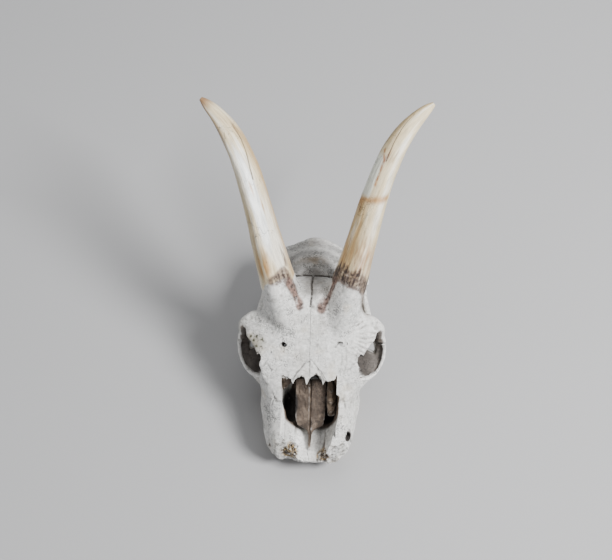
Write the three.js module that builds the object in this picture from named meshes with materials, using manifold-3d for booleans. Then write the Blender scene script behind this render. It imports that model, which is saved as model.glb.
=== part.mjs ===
// The skull of a young goat with bare horn cores and no lower jaw, lying on its cheek teeth and on the
// two long processes beside its neck joint. The nasal bones and the tip of the muzzle have broken off.
// Millimetres: X is the width, +Y runs from the broken muzzle to the back of the head, +Z is up.
// The shapes are made with Y = 0 at the broken end of the palate and Z = 0 at the tooth tips.
import * as THREE from "three";
import { mergeVertices } from "three/addons/utils/BufferGeometryUtils.js";
import Module from "manifold-3d";

const wasm = await Module();
wasm.setup();

// Driving sizes
const ORBIT_HALF = 53; // middle of the skull to the outer edge of an eye socket
const HORN_REACH = new THREE.Vector3(59.5, 101, 95); // horn base to horn tip: out, back and up
const HORN_ROOT = { y: 102, z: 96 }; // middle of a horn at the forehead
const HORN_SET = { right: 21, left: 24 }; // how far out each horn stands there
const SUTURE_GAP = 0.3; // clear space between neighbouring bones
const MIDDLE = [-200, 200];
const SIDES = [
  ["right", -1],
  ["left", 1],
];

// A smooth curve through stations [place, value], level past both ends and never overshooting.
function track(...stations) {
  const last = stations.length - 1;
  const rise = (i) =>
    (stations[i + 1][1] - stations[i][1]) / (stations[i + 1][0] - stations[i][0]);
  const slope = (i) => {
    if (i === 0 || i === last) return rise(Math.min(i, last - 1));
    const [before, after] = [rise(i - 1), rise(i)];
    return before * after <= 0 ? 0 : (2 * before * after) / (before + after);
  };
  return (place) => {
    if (place <= stations[0][0]) return stations[0][1];
    if (place >= stations[last][0]) return stations[last][1];
    const i = stations.findIndex((station) => place < station[0]) - 1;
    const span = stations[i + 1][0] - stations[i][0];
    const t = (place - stations[i][0]) / span;
    const s = 1 - t;
    return (
      stations[i][1] * s * s * (1 + 2 * t) +
      stations[i + 1][1] * t * t * (1 + 2 * s) +
      slope(i) * span * t * s * s -
      slope(i + 1) * span * s * t * t
    );
  };
}

// Evenly spaced places from one end to the other.
const places = (from, to, count) =>
  Array.from({ length: count }, (_, i) => THREE.MathUtils.lerp(from, to, i / (count - 1)));

// A closed geometry as a solid with its faces pointing out.
function solidOf(geometry) {
  const bare = new THREE.BufferGeometry().setAttribute("position", geometry.getAttribute("position"));
  if (geometry.index) bare.setIndex(geometry.index);
  const merged = mergeVertices(bare, 1e-4);
  const triVerts = new Uint32Array(merged.index.array);
  const vertProperties = merged.attributes.position.array;
  const made = new wasm.Manifold(new wasm.Mesh({ numProp: 3, vertProperties, triVerts }));
  if (made.volume() > 0) return made;
  for (let i = 0; i < triVerts.length; i += 3)
    [triVerts[i + 1], triVerts[i + 2]] = [triVerts[i + 2], triVerts[i + 1]];
  return new wasm.Manifold(new wasm.Mesh({ numProp: 3, vertProperties, triVerts }));
}

const joined = (solids) => solids.reduce((all, solid) => all.add(solid));
const cutAway = (solid, ...cutters) => cutters.reduce((rest, cutter) => rest.subtract(cutter), solid);

// A solid through rings of points, each end closed by a fan round its middle.
function loft(rings) {
  const around = rings[0].length;
  const points = rings.flat();
  const index = [];
  for (let r = 0; r < rings.length - 1; r++)
    for (let k = 0; k < around; k++) {
      const a = r * around + k;
      const b = r * around + ((k + 1) % around);
      index.push(a, b, b + around, a, b + around, a + around);
    }
  for (const [start, first, second] of [
    [0, 1, 0],
    [(rings.length - 1) * around, 0, 1],
  ]) {
    const ring = points.slice(start, start + around);
    const middle = ring.reduce((sum, p) => sum.add(p), new THREE.Vector3()).divideScalar(around);
    points.push(middle);
    for (let k = 0; k < around; k++) {
      const pair = [start + k, start + ((k + 1) % around)];
      index.push(points.length - 1, pair[first], pair[second]);
    }
  }
  return solidOf(new THREE.BufferGeometry().setFromPoints(points).setIndex(index));
}

// One ring across the skull: half width, height above and below its centre, and how square it is.
function ovalRing(y, [x, z], [half, up, down], square = 2, around = 20) {
  return places(0, 2 * Math.PI, around + 1)
    .slice(0, -1)
    .map((angle) => {
      const [c, s] = [Math.cos(angle), Math.sin(angle)];
      const grown = (value) => Math.sign(value) * Math.abs(value) ** (2 / square);
      return new THREE.Vector3(x + half * grown(c), y, z + (s > 0 ? up : down) * grown(s));
    });
}

// One ring across the skull through half an outline, from the lower middle up to the top middle.
function mirroredRing(y, half, around = 22) {
  const other = half
    .filter(([x]) => x > 0)
    .reverse()
    .map(([x, z]) => [-x, z]);
  const outline = [...half, ...other].map(([x, z]) => new THREE.Vector3(x, y, z));
  return new THREE.CatmullRomCurve3(outline, true, "centripetal").getPoints(around).slice(0, -1);
}

// A rod along a smooth path, oval across: stations are [x, y, z, half depth across up, half depth along up].
function rod(stations, { side = 1, up = [0, 0, 1], steps = 12, around = 10, square = 2 } = {}) {
  const path = new THREE.CatmullRomCurve3(
    stations.map(([x, y, z]) => new THREE.Vector3(x, y, z)),
    false,
    "centripetal",
  );
  const along = stations.length - 1;
  const across = track(...stations.map((station, i) => [i / along, station[3]]));
  const tall = track(...stations.map((station, i) => [i / along, station[4]]));
  const upright = new THREE.Vector3(...up);
  const rings = places(0, 1, steps + 1).map((t) => {
    const middle = path.getPoint(t);
    const forward = path.getTangent(t);
    const sideways = new THREE.Vector3().crossVectors(forward, upright).normalize();
    const lifted = new THREE.Vector3().crossVectors(sideways, forward);
    return places(0, 2 * Math.PI, around + 1)
      .slice(0, -1)
      .map((angle) => {
        const grown = (value) => Math.sign(value) * Math.abs(value) ** (2 / square);
        const point = middle
          .clone()
          .addScaledVector(sideways, across(t) * grown(Math.cos(angle)))
          .addScaledVector(lifted, tall(t) * grown(Math.sin(angle)));
        point.x *= side;
        return point;
      });
  });
  return loft(rings);
}

// A ball stretched to three half sizes.
function ball([x, y, z], [rx, ry, rz], { side = 1, around = 12, tall = 8, tilt = 0 } = {}) {
  const geometry = new THREE.SphereGeometry(1, around, tall);
  geometry.scale(rx, ry, rz).rotateX(tilt).translate(x * side, y, z);
  return solidOf(geometry);
}

// A flat outline [[y, z], ...] seen from the side, as a solid between two places across the skull.
function sideSlab(outline, [from, to]) {
  const shape = new THREE.Shape(outline.map(([y, z]) => new THREE.Vector2(y, z)));
  const geometry = new THREE.ExtrudeGeometry(shape, { depth: to - from, bevelEnabled: false });
  geometry.applyMatrix4(new THREE.Matrix4().set(0, 0, 1, from, 1, 0, 0, 0, 0, 1, 0, 0, 0, 0, 0, 1));
  return solidOf(geometry);
}

// A flat outline [[x, y], ...] seen from above, as a solid between two heights that leans back as it rises.
function planSlab(outline, [from, to], lean = 0) {
  const shape = new THREE.Shape(outline.map(([x, y]) => new THREE.Vector2(x, y)));
  const geometry = new THREE.ExtrudeGeometry(shape, { depth: to - from, bevelEnabled: false });
  geometry.applyMatrix4(new THREE.Matrix4().set(1, 0, 0, 0, 0, 1, lean, 0, 0, 0, 1, from, 0, 0, 0, 1));
  return solidOf(geometry);
}

// An outline moved outwards by a distance, for the clear space round a bone.
function grown(outline, distance) {
  const area = THREE.ShapeUtils.area(outline.map(([x, y]) => new THREE.Vector2(x, y)));
  const turn = Math.sign(area);
  const normal = ([ax, ay], [bx, by]) => new THREE.Vector2(by - ay, ax - bx).normalize().multiplyScalar(turn);
  return outline.map((point, i) => {
    const before = normal(outline.at(i - 1), point);
    const after = normal(point, outline[(i + 1) % outline.length]);
    const miter = before.clone().add(after).normalize();
    return [
      point[0] + (miter.x * distance) / Math.max(0.5, miter.dot(after)),
      point[1] + (miter.y * distance) / Math.max(0.5, miter.dot(after)),
    ];
  });
}

// The height of the skull's upper profile along its middle
const profile = track(
  [-5, 33], [10, 42], [25, 52], [47, 64], [60, 72], [75, 83.5], [88, 93], [98, 98], [106, 97.5],
  [115, 92.5], [123, 87], [136, 82.5], [148, 77], [157, 71], [164, 63], [169, 54], [172, 47],
);

// The two upper jaw bones before the nose is opened, and the tear bones behind them up to the eyes
function muzzle() {
  const jaw = track([-2, 17], [8, 22], [30, 28], [50, 31], [68, 29]);
  const bulge = track([-2, 19], [4, 23.5], [13, 30], [30, 34], [50, 35.5], [60, 35.5], [68, 30]);
  const shoulder = track([-2, 18], [10, 24], [30, 28.5], [47, 33], [58, 36.5], [68, 36]);
  const floor = track([-2, 17], [10, 12.5], [30, 10.5], [54, 11], [68, 18]);
  const rings = places(-2, 68, 13).map((y) => {
    const top = profile(y) - 0.3;
    const low = floor(y);
    return mirroredRing(
      y,
      [
        [0, low + 3.5],
        [0.5 * jaw(y), low + 3],
        [jaw(y) - 2, low],
        [jaw(y) + 1, low + 4],
        [bulge(y), THREE.MathUtils.lerp(low, top, 0.38)],
        [shoulder(y), THREE.MathUtils.lerp(low, top, 0.78)],
        [0.74 * shoulder(y), top - 3],
        [0.36 * shoulder(y), top - 0.6],
        [0, top],
      ],
      26,
    );
  });
  return loft(rings);
}

// The part of each upper jaw bone that carries the last tooth, behind the cheek
const jawEnd = (side) =>
  rod(
    [
      [24, 44, 23, 8, 11],
      [26, 60, 22, 7.5, 11],
      [25.5, 72, 23, 5.5, 9],
      [24, 77, 26, 2.5, 5],
    ],
    { side, steps: 6 },
  );

// The forehead, with a thin roof over each eye that ends in the process behind it
function forehead() {
  const half = track(
    [44, 27], [52, 34.6], [58, 36.6], [65, 39.6], [73, 45], [79, ORBIT_HALF - 3.4], [85, ORBIT_HALF - 2.6],
    [89, 46], [93, 40], [100, 36.5], [112, 34], [120, 25],
  );
  const edge = track(
    [44, 55], [52, 62], [58, 68], [65, 72], [76, 75], [87, 75], [91, 80], [95, 85], [100, 88], [120, 76],
  );
  const deep = track([44, 5], [60, 8], [80, 12], [100, 18], [120, 14]);
  const rings = [44, 49, 54, 60, 66, 72, 78, 83, 87, 90, 93, 98, 105, 112, 120].map((y) => {
    const [wide, top, rim] = [half(y), profile(y), edge(y)];
    const fall = (share) => top - (top - rim) * share ** 2.2;
    return mirroredRing(
      y,
      [
        [0, top - deep(y)],
        [0.45 * wide, fall(0.45) - 0.75 * deep(y)],
        [0.86 * wide, fall(0.86) - 4.5],
        [wide - 1, rim - 3],
        [wide, rim - 0.6],
        [0.86 * wide, fall(0.86)],
        [0.62 * wide, fall(0.62)],
        [0.3 * wide, fall(0.3)],
        [0, top],
      ],
      26,
    );
  });
  return loft(rings);
}

// The narrow wall between the eye sockets
function betweenEyes() {
  const half = track([40, 21], [52, 20.5], [62, 18], [74, 14.5], [84, 15.5], [96, 22], [104, 26]);
  const low = track([40, 24], [60, 30], [80, 39], [104, 36]);
  const rings = places(40, 104, 9).map((y) => {
    const middle = (profile(y) + low(y)) / 2;
    const tall = (profile(y) - low(y)) / 2 - 2;
    return ovalRing(y, [0, middle], [half(y), tall, tall], 3, 18);
  });
  return loft(rings);
}

// The rounded case of the brain
function brainCase() {
  const half = track(
    [88, 17], [96, 24], [106, 28.5], [120, 31.5], [136, 33], [150, 32.5], [159, 31], [164, 27], [169, 19], [172, 11],
  );
  const low = track([88, 42], [104, 36], [130, 31], [160, 30], [172, 34]);
  const widest = track([88, 62], [130, 58], [160, 50], [172, 42]);
  const rings = [88, 95, 104, 114, 125, 136, 147, 155, 161, 166, 170, 172].map((y) =>
    ovalRing(y, [0, widest(y)], [half(y), profile(y) - widest(y), widest(y) - low(y)], 2.15, 22),
  );
  return loft(rings);
}

// The low ridge over the back of the head
const nuchalCrest = () =>
  rod(
    [
      [-31, 151, 42, 2.6, 2.4],
      [-29, 153.5, 52, 3, 2.4],
      [-22, 156, 60.5, 3, 2.5],
      [-12, 158.5, 67.5, 3, 2.5],
      [0, 160.5, 71, 3.2, 2.6],
      [12, 158.5, 67.5, 3, 2.5],
      [22, 156, 60.5, 3, 2.5],
      [29, 153.5, 52, 3, 2.4],
      [31, 151, 42, 2.6, 2.4],
    ],
    { up: [0, 1, 0], steps: 14, around: 7 },
  );

// The cheek bone under the eye, and the bar that runs from it back to the ear
const zygomaticBar = (side) =>
  rod(
    [
      [27, 36, 26, 4.6, 6],
      [31, 48, 28.5, 4.8, 7],
      [31.8, 58, 31, 4.4, 7.2],
      [39, 66, 35, 4.4, 6.8],
      [46, 73, 38, 4, 6.2],
      [50, 80, 41.5, 3.3, 5.6],
      [48.4, 88, 45, 2.9, 5],
      [44.6, 98, 48, 2.6, 4.6],
      [40.8, 108, 50.5, 2.5, 4.4],
      [37.6, 120, 52, 2.8, 4.6],
      [34.5, 130, 51.5, 4.2, 5.6],
      [28, 137, 50, 6, 7],
    ],
    { side, steps: 18, around: 8 },
  );

// The thin floor of the eye socket
const eyeFloor = (side) => ball([36, 76, 38], [15, 12, 8], { side });

// The bar that closes the eye socket behind
const postorbitalBar = (side) =>
  rod(
    [
      [46, 91, 77.6, 3.8, 3],
      [ORBIT_HALF - 3, 88.4, 73.6, 3.6, 3],
      [ORBIT_HALF - 3.1, 87, 68, 3.8, 3.7],
      [ORBIT_HALF - 3, 85.2, 60, 4.2, 3.7],
      [50.4, 82, 50, 4.4, 3.2],
      [50, 78, 42, 5, 3],
    ],
    { side, up: [1, 0, 0], steps: 7, around: 8 },
  );

// The space of one eye, from the nerve opening out past the rim
const eyeSpace = (side) =>
  rod(
    [
      [17, 84, 55, 3, 3],
      [27, 77, 54.5, 11, 10.5],
      [40, 70.5, 54.4, 14.6, 14.6],
      [52, 66, 54.2, 16.4, 15.4],
      [66, 61, 54.6, 20, 18],
    ],
    { side, steps: 5, around: 14, square: 2.2 },
  );

// The horn's middle line, rising steeply and leaning back, then turning outwards towards the tip.
const LEAN = [THREE.MathUtils.degToRad(62), THREE.MathUtils.degToRad(22)];
function hornLine(side) {
  const turn = LEAN[0] - LEAN[1];
  const length = HORN_REACH.y / ((Math.sin(LEAN[0]) - Math.sin(LEAN[1])) / turn);
  const rise = HORN_REACH.z / ((Math.cos(LEAN[1]) - Math.cos(LEAN[0])) / turn);
  return (t) => {
    const lean = LEAN[0] - turn * t;
    const out = 0.6 * t + (t > 0 ? 0.4 * t ** 6 : 0);
    return new THREE.Vector3(
      side * ((side > 0 ? HORN_SET.left : HORN_SET.right) + out * HORN_REACH.x),
      HORN_ROOT.y + (length * (Math.sin(LEAN[0]) - Math.sin(lean))) / turn,
      HORN_ROOT.z + (rise * (Math.cos(lean) - Math.cos(LEAN[0]))) / turn,
    );
  };
}

// A horn core between two shares of its length: flat on its inner side, with a blunt keel in front.
function horn(side, from, to, steps, swell = 0) {
  const line = hornLine(side);
  const across = track(
    [-0.18, 21], [-0.06, 15.6], [0.06, 13.4], [0.3, 11.2], [0.5, 9.9], [0.7, 8.7],
    [0.82, 7.5], [0.92, 5.4], [0.97, 3.6], [1, 1.3],
  );
  const depth = track(
    [-0.18, 23], [-0.06, 19], [0.06, 17], [0.5, 12.4], [0.8, 8.8], [0.92, 5.8], [0.97, 3.8], [1, 1.4],
  );
  const rings = places(0, 1, steps + 1).map((share) => {
    const t = THREE.MathUtils.lerp(from, to, 1 - (1 - share) ** 1.25);
    const middle = line(t);
    const forward = line(t + 0.01).sub(line(t - 0.01)).normalize();
    const front = new THREE.Vector3(0, -1, 0).addScaledVector(forward, forward.y).normalize();
    const out = new THREE.Vector3().crossVectors(forward, front).normalize();
    out.multiplyScalar(Math.sign(out.x) * side);
    return places(0, 2 * Math.PI, 15)
      .slice(0, -1)
      .map((angle) => {
        const [c, s] = [Math.cos(angle), Math.sin(angle)];
        const keel = c > 0 ? 1 + 0.1 * c ** 6 : 1;
        const inner = s < 0 ? 0.9 : 1;
        return middle
          .clone()
          .addScaledVector(front, (depth(t) + swell) * keel * c)
          .addScaledVector(out, (across(t) + swell) * inner * s);
      });
  });
  return loft(rings);
}
const HORN_CUT = 0.06; // share of the horn's length where the forehead's foot for it ends
const HORN_GAP = SUTURE_GAP / 165; // the same clear space as a share of the horn's length

// The neck joint, the ear region and the base of the skull
const condyle = (side) => ball([12.5, 165, 36], [8.5, 8.5, 11], { side, tilt: -0.5 });
const paroccipital = (side) =>
  rod(
    [
      [28, 155, 44, 6, 5],
      [28.5, 156, 30, 7, 4.4],
      [27, 155, 16, 5, 3.2],
      [25.5, 153, 5, 3.4, 2.4],
      [25, 152.5, -3, 2.8, 2.2],
    ],
    { side, up: [1, 0, 0], steps: 5, around: 8 },
  );
const bulla = (side) => ball([20, 139, 25], [7.5, 12, 12], { side, tilt: 0.25 });
const earTube = (side) =>
  rod(
    [
      [22, 140, 36, 6, 6],
      [32, 142, 43, 5.6, 5.6],
      [39, 143.5, 46, 5.4, 5.4],
    ],
    { side, steps: 2, around: 10 },
  );
const earHole = (side) =>
  rod(
    [
      [30, 141.6, 42, 2.4, 2.4],
      [42, 144.2, 47.2, 3.6, 3.6],
    ],
    { side, steps: 1, around: 8 },
  );
function skullBase() {
  const half = track([84, 7], [110, 8.5], [140, 11], [160, 14], [168, 15]);
  const rings = [84, 100, 120, 140, 156, 168].map((y) =>
    ovalRing(y, [0, 36], [half(y), 8, 7], 3, 12),
  );
  return loft(rings);
}
const neckHole = () =>
  rod(
    [
      [0, 186, 41, 11.5, 9.5],
      [0, 170, 42, 10.5, 9],
      [0, 158, 46, 11, 10],
      [0, 136, 54, 15, 13],
    ],
    { steps: 4, around: 12 },
  );

// The back of the palate and the thin upright plates behind it, round the inner nostrils
function palateCore() {
  const half = track([36, 20], [56, 18], [70, 15.5], [80, 14]);
  const rings = places(36, 80, 5).map((y) => ovalRing(y, [0, 30], [half(y), 13, 14.5], 3.4, 16));
  return loft(rings);
}
const pterygoid = (side) =>
  rod(
    [
      [13.4, 64, 30, 2.2, 14],
      [12.6, 76, 32, 1.7, 13],
      [11.4, 88, 34, 1.5, 10],
      [10.6, 98, 34, 1.5, 8.5],
      [10.4, 108, 36, 2, 5],
    ],
    { side, steps: 5, around: 8, square: 2.6 },
  );
const innerNostrils = () =>
  rod(
    [
      [0, 48, 29, 8, 8],
      [0, 60, 29.5, 9, 8.5],
      [0, 76, 29.5, 9.6, 9.5],
      [0, 88, 28.5, 9.4, 10.5],
      [0, 104, 27, 8.6, 10],
    ],
    { steps: 4, around: 12, square: 2.6 },
  );
const palateNotch = () => planSlab([[-9, 68], [-4, 64], [4, 64], [9, 68], [9, 110], [-9, 110]], [0, 26]);

// The open nose: a trough between the jaw bones, and a deep pocket beside the ploughshare bone
function noseSpace(inset = 0) {
  const half = track([-8, 8], [0, 11.5], [12, 16.6], [28, 19.2], [47, 19.6], [60, 16]);
  const floor = track([-8, 20.5], [20, 20.5], [60, 22]);
  const rings = places(-8, 60, 10).map((y) => {
    const wide = half(y) - inset;
    const low = floor(y) + inset;
    const top = y < 50 ? profile(y) + 8 : THREE.MathUtils.lerp(profile(y), low, 0.28) - inset;
    return mirroredRing(y, [
      [0, low],
      [0.5 * wide, low + 1.6],
      [0.84 * wide, THREE.MathUtils.lerp(low, profile(y), 0.34)],
      [wide, THREE.MathUtils.lerp(low, profile(y), 0.72)],
      [0.97 * wide, top - 3],
      [0.6 * wide, top],
      [0, top],
    ]);
  });
  return loft(rings);
}
const sidePocket = (side) => ball([13.5, 46, 31.5], [9.5, 15, 11.5], { side, around: 12, tall: 10 });
const ROOF_EDGE = [
  [-19.8, 49.5], [-16.5, 46.5], [-14, 47], [-12.2, 43], [-11.5, 48], [-8, 46], [-4.5, 48], [-2.4, 42],
  [-1, 46], [1.5, 49], [4.5, 53], [7, 48], [10, 45], [13, 44.5], [15.5, 47.5], [18, 48], [20, 50],
];
const roofBreak = () => planSlab([[-19.8, -20], ...ROOF_EDGE, [20, -20]], [40, 90]);

// The broken front of the two jaw bones, ragged and leaning back
const MUZZLE_EDGE = [
  [-40, 22], [-33, 15], [-29, 12], [-27.5, 13.5], [-26, 8], [-22, 5.5], [-17, 6.5], [-12, 5], [-7, 0.5],
  [4, 0], [8, 2.5], [12, 4.5], [15, 3.5], [18, 6], [22, 6.5], [25, 9], [28, 10], [33, 14], [40, 20],
];
const muzzleBreak = () => planSlab([[-40, -40], ...MUZZLE_EDGE, [40, -40]], [0, 90], 0.16);

// Small natural openings: one over each eye and one on each side of the muzzle
const browHole = (side) =>
  rod(
    [
      [21, 65, 90, 1.6, 1.6],
      [20, 69, 74, 1.3, 1.3],
    ],
    { side, up: [0, 1, 0], steps: 1, around: 8 },
  );
const cheekHole = (side) =>
  rod(
    [
      [34, 8, 31, 3, 2.6],
      [26, 20, 29, 2.2, 2],
    ],
    { side, steps: 1, around: 10 },
  );

// Three premolars and three molars a side: [half length, half width, middle along, middle across, lobes]
const TEETH = [
  [3.2, 3, 20.1, 21, 1],
  [3.6, 3.5, 27.1, 22.3, 1],
  [3.7, 4.2, 34.6, 23.4, 1],
  [4.8, 5, 43.3, 24.4, 2],
  [5.5, 5.4, 53.8, 25.4, 2],
  [6.6, 5, 66.1, 25.6, 2],
];
const RIB = 1.1; // how far a ridge on the cheek side of a tooth stands out
function tooth([long, wide, along, across, lobes], side) {
  const cheekSide = places(0, 1, 3 * lobes + 1).map((u) => [
    across + wide - RIB + RIB * Math.abs(Math.cos(Math.PI * lobes * u)),
    along - long + 2 * long * u,
  ]);
  const tongueSide = places(0.96, 0.04, 3 * lobes + 1).map((u) => [
    across - wide * (0.45 + 0.55 * Math.abs(Math.sin(Math.PI * lobes * u)) ** 0.7),
    along - long + 2 * long * u,
  ]);
  const outline = [...cheekSide, ...tongueSide].map(([x, y]) => [x * side, y]);
  return planSlab(outline, [0, 22]);
}

// The thin two-winged bone along the floor of the nose, with a groove along its middle
function vomer() {
  const wing = track([12, 1.6], [24, 2.6], [33, 6.5], [39, 9], [58, 9]);
  const top = track([12, 24], [24, 27.5], [36, 32.5], [46, 36], [58, 40]);
  const rings = places(12, 57, 9).map((y) => {
    const [wide, high] = [wing(y), top(y)];
    const stem = Math.min(1.5, wide * 0.6);
    return [
      [stem, 18], [stem, high - 3.6], [wide, high - 4.4], [wide, high - 2.2], [stem * 0.6, high],
      [-stem * 0.6, high], [-wide, high - 2.2], [-wide, high - 4.4], [-stem, high - 3.6], [-stem, 18],
    ].map(([x, z]) => new THREE.Vector3(x, y, z));
  });
  const groove = sideSlab([[16, 24.5], [26, 26.5], [36, 30.5], [42, 34], [42, 50], [16, 50]], [-0.5, 0.5]);
  return loft(rings).subtract(groove).intersect(noseSpace(SUTURE_GAP));
}

// What is left of a rolled bone on one side wall of the nose
const turbinate = () =>
  rod(
    [
      [16.2, 34, 37, 1.6, 2],
      [15.8, 40, 40, 2, 6],
      [15.6, 48, 42, 2.2, 7.5],
      [14.5, 56, 43, 2, 6],
    ],
    { steps: 6, around: 10 },
  ).intersect(noseSpace(SUTURE_GAP));

// The whole skull without its horns, and the loose bones inside the nose
function wholeSkull() {
  const both = (make) => SIDES.map(([, side]) => make(side));
  const bone = joined([
    muzzle(), forehead(), betweenEyes(), brainCase(), skullBase(), palateCore(), nuchalCrest(),
    ...[jawEnd, eyeFloor, zygomaticBar, postorbitalBar, condyle, paroccipital, bulla, earTube].flatMap(both),
    ...both((side) => horn(side, -0.18, HORN_CUT, 3)),
  ]);
  const opened = cutAway(
    bone, noseSpace(), roofBreak(), muzzleBreak(), innerNostrils(), palateNotch(), neckHole(),
    ...[eyeSpace, sidePocket, earHole, browHole, cheekHole].flatMap(both),
  );
  const plates = joined([...both(pterygoid)]);
  const teeth = joined(SIDES.flatMap(([, side]) => TEETH.map((size) => tooth(size, side))));
  const belowFloor = planSlab([[-90, -40], [90, -40], [90, 220], [-90, 220]], [-30, 0]);
  return opened.add(plates).add(teeth).subtract(belowFloor);
}

// Which bone is which, in the order they are taken: outlines seen from the side, and where across they count.
// A region across "in" lies between the two sides' limits, and "out" lies beyond them on one side.
const REGIONS = {
  paired: {
    zygomatic: [
      { side: [[43, 20], [43, 38], [50, 43.5], [57, 45], [60, 50], [104, 50], [104, 20]], across: [30.5, 60] },
      { side: [[57, 40], [60, 57], [96, 58], [97, 56], [112, 53], [104, 46], [104, 40]], across: [38, 60] },
    ],
    lacrimal: [
      { side: [[37, 53], [46, 61.5], [54.5, 62], [62, 62], [62, 46], [50, 44], [44, 46]], across: [17, 60] },
    ],
    frontal: [
      { side: [[43.5, 63], [54, 62], [60, 58], [60, 52], [84, 52], [98, 58], [108, 68], [117, 77], [121.5, 84], [122.5, 130], [20, 130], [20, 74]], across: [SUTURE_GAP / 2, 60] },
      { side: [[60, 56.8], [92, 57.6], [100, 60], [100, 90], [60, 90]], across: [30, 60] },
    ],
    maxilla: [
      { side: [[-20, -20], [53, -20], [53, 45], [57, 50], [62, 62], [44, 70], [-20, 80]], across: [SUTURE_GAP / 2, 60] },
      { side: [[50, -20], [80, -20], [80, 30], [66, 38], [50, 48]], across: [17, 60] },
    ],
    temporal: [
      { side: [[90, 30], [90, 62], [104, 60], [118, 66], [134, 68], [149, 60], [150, 40], [154, 34], [150, 26], [150, 8], [118, 8], [118, 34]], across: [11.5, 60] },
    ],
  },
  single: {
    sphenoid: [{ side: [[52, -20], [52, 53], [84, 52], [98, 58], [104, 60], [118, 64], [124, 50], [126, 8], [110, -20]], across: MIDDLE }],
    parietal: [{ side: [[95, 60], [104, 66], [117, 77], [121.5, 84], [122.5, 130], [150, 130], [156, 76], [157, 66], [148, 58]], across: MIDDLE }],
    occipital: [{ side: [[110, -20], [110, 120], [200, 120], [200, -20]], across: MIDDLE }],
  },
};
const slabOf = ({ side: outline, across }, side, clear) => {
  const [near, far] = across.map((limit) => limit * side).sort((a, b) => a - b);
  return sideSlab(clear ? grown(outline, clear) : outline, [near - clear, far + clear]);
};

// The V of the two nose bones' broken roots, seen from above
const NASAL_ROOT = [[SUTURE_GAP / 2, 62], [4, 56], [8, 50], [11.5, 46], [11.5, 30], [SUTURE_GAP / 2, 30]];

// Only the largest closed surface of a bone counts: crumbs of the cuts are dropped.
function largest(solid) {
  const pieces = solid.decompose();
  return pieces.reduce((best, piece) => (piece.volume() > best.volume() ? piece : best));
}

function bones() {
  const made = {};
  let rest = wholeSkull();
  const take = (name, region, clear) => {
    made[name] = largest(rest.intersect(region));
    rest = rest.subtract(clear);
  };
  for (const [word, side] of SIDES) {
    const outline = NASAL_ROOT.map(([x, y]) => [x * side, y]);
    const clear = grown(outline, SUTURE_GAP);
    take(`nasal_${word}`, planSlab(outline, [54, 90]), planSlab(clear, [54, 90]));
  }
  for (const [bone, regions] of Object.entries(REGIONS.paired))
    for (const [word, side] of SIDES)
      take(
        `${bone}_${word}`,
        joined(regions.map((region) => slabOf(region, side, 0))),
        joined(regions.map((region) => slabOf(region, side, SUTURE_GAP))),
      );
  for (const [bone, regions] of Object.entries(REGIONS.single))
    take(
      bone,
      joined(regions.map((region) => slabOf(region, 1, 0))),
      joined(regions.map((region) => slabOf(region, 1, SUTURE_GAP))),
    );
  for (const [word, side] of SIDES)
    made[`horn_core_${word}`] = horn(side, HORN_CUT + HORN_GAP, 1, 13);
  made.vomer = largest(vomer());
  made.turbinate = largest(turbinate());
  return made;
}

// Colours as they look in daylight
const FINISHES = {
  bone: { color: 0xd2d1cf, roughness: 0.75, metalness: 0 },
  horn: { color: 0xe3d5bb, roughness: 0.5, metalness: 0 },
  stained: { color: 0x7a6a5a, roughness: 0.8, metalness: 0 },
};
const finishOf = (name) =>
  name.startsWith("horn") ? FINISHES.horn : ["vomer", "turbinate"].includes(name) ? FINISHES.stained : FINISHES.bone;

function meshOf(name, solid) {
  const { vertProperties, triVerts } = solid.getMesh();
  const geometry = new THREE.BufferGeometry();
  geometry.setAttribute("position", new THREE.BufferAttribute(new Float32Array(vertProperties), 3));
  geometry.setIndex(new THREE.BufferAttribute(new Uint32Array(triVerts), 1));
  geometry.computeVertexNormals();
  const mesh = new THREE.Mesh(geometry, new THREE.MeshStandardMaterial(finishOf(name)));
  mesh.name = name;
  return mesh;
}

const skull = new THREE.Group();
for (const [name, solid] of Object.entries(bones())) skull.add(meshOf(name, solid));

// The origin is under the middle of the whole skull, on the surface that it lies on.
const extent = new THREE.Box3().setFromObject(skull);
const centre = extent.getCenter(new THREE.Vector3());
skull.position.set(-centre.x, -centre.y, -extent.min.z);

export default skull;
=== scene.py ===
"""A weathered goat skull: bones parted at the sutures, bare horn cores, teeth and the bones in the nose."""
import math

import bmesh
import bpy
import numpy as np
from mathutils import Matrix, Vector


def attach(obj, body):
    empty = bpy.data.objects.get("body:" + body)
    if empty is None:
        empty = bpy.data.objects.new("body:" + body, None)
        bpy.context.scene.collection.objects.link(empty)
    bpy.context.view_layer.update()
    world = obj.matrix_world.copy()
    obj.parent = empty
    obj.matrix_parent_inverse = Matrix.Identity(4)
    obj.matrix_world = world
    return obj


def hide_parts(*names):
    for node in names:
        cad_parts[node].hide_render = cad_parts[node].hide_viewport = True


bl_info = {
    "name": "Goat Skull",
    "version": (1, 0, 0),
    "blender": (4, 5, 0),
    "location": "View3D > Sidebar > Skull",
    "description": "Builds a weathered goat skull with bare horn cores",
    "category": "Add Mesh",
}

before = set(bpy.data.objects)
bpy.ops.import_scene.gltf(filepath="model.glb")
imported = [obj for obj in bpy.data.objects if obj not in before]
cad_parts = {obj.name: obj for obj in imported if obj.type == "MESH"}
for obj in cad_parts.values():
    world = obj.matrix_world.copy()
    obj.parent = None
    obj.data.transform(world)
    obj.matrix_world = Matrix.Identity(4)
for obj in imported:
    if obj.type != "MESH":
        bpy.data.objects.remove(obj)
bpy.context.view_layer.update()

# Shapes are measured in millimetres: X across, Y back from the broken muzzle, Z up from the tooth tips.
ORIGIN = np.array([1.5, 103.5, 0.0])  # where the frame's own origin lies in that measure
MM = 0.001
SIDES = {"right": -1, "left": 1}


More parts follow.
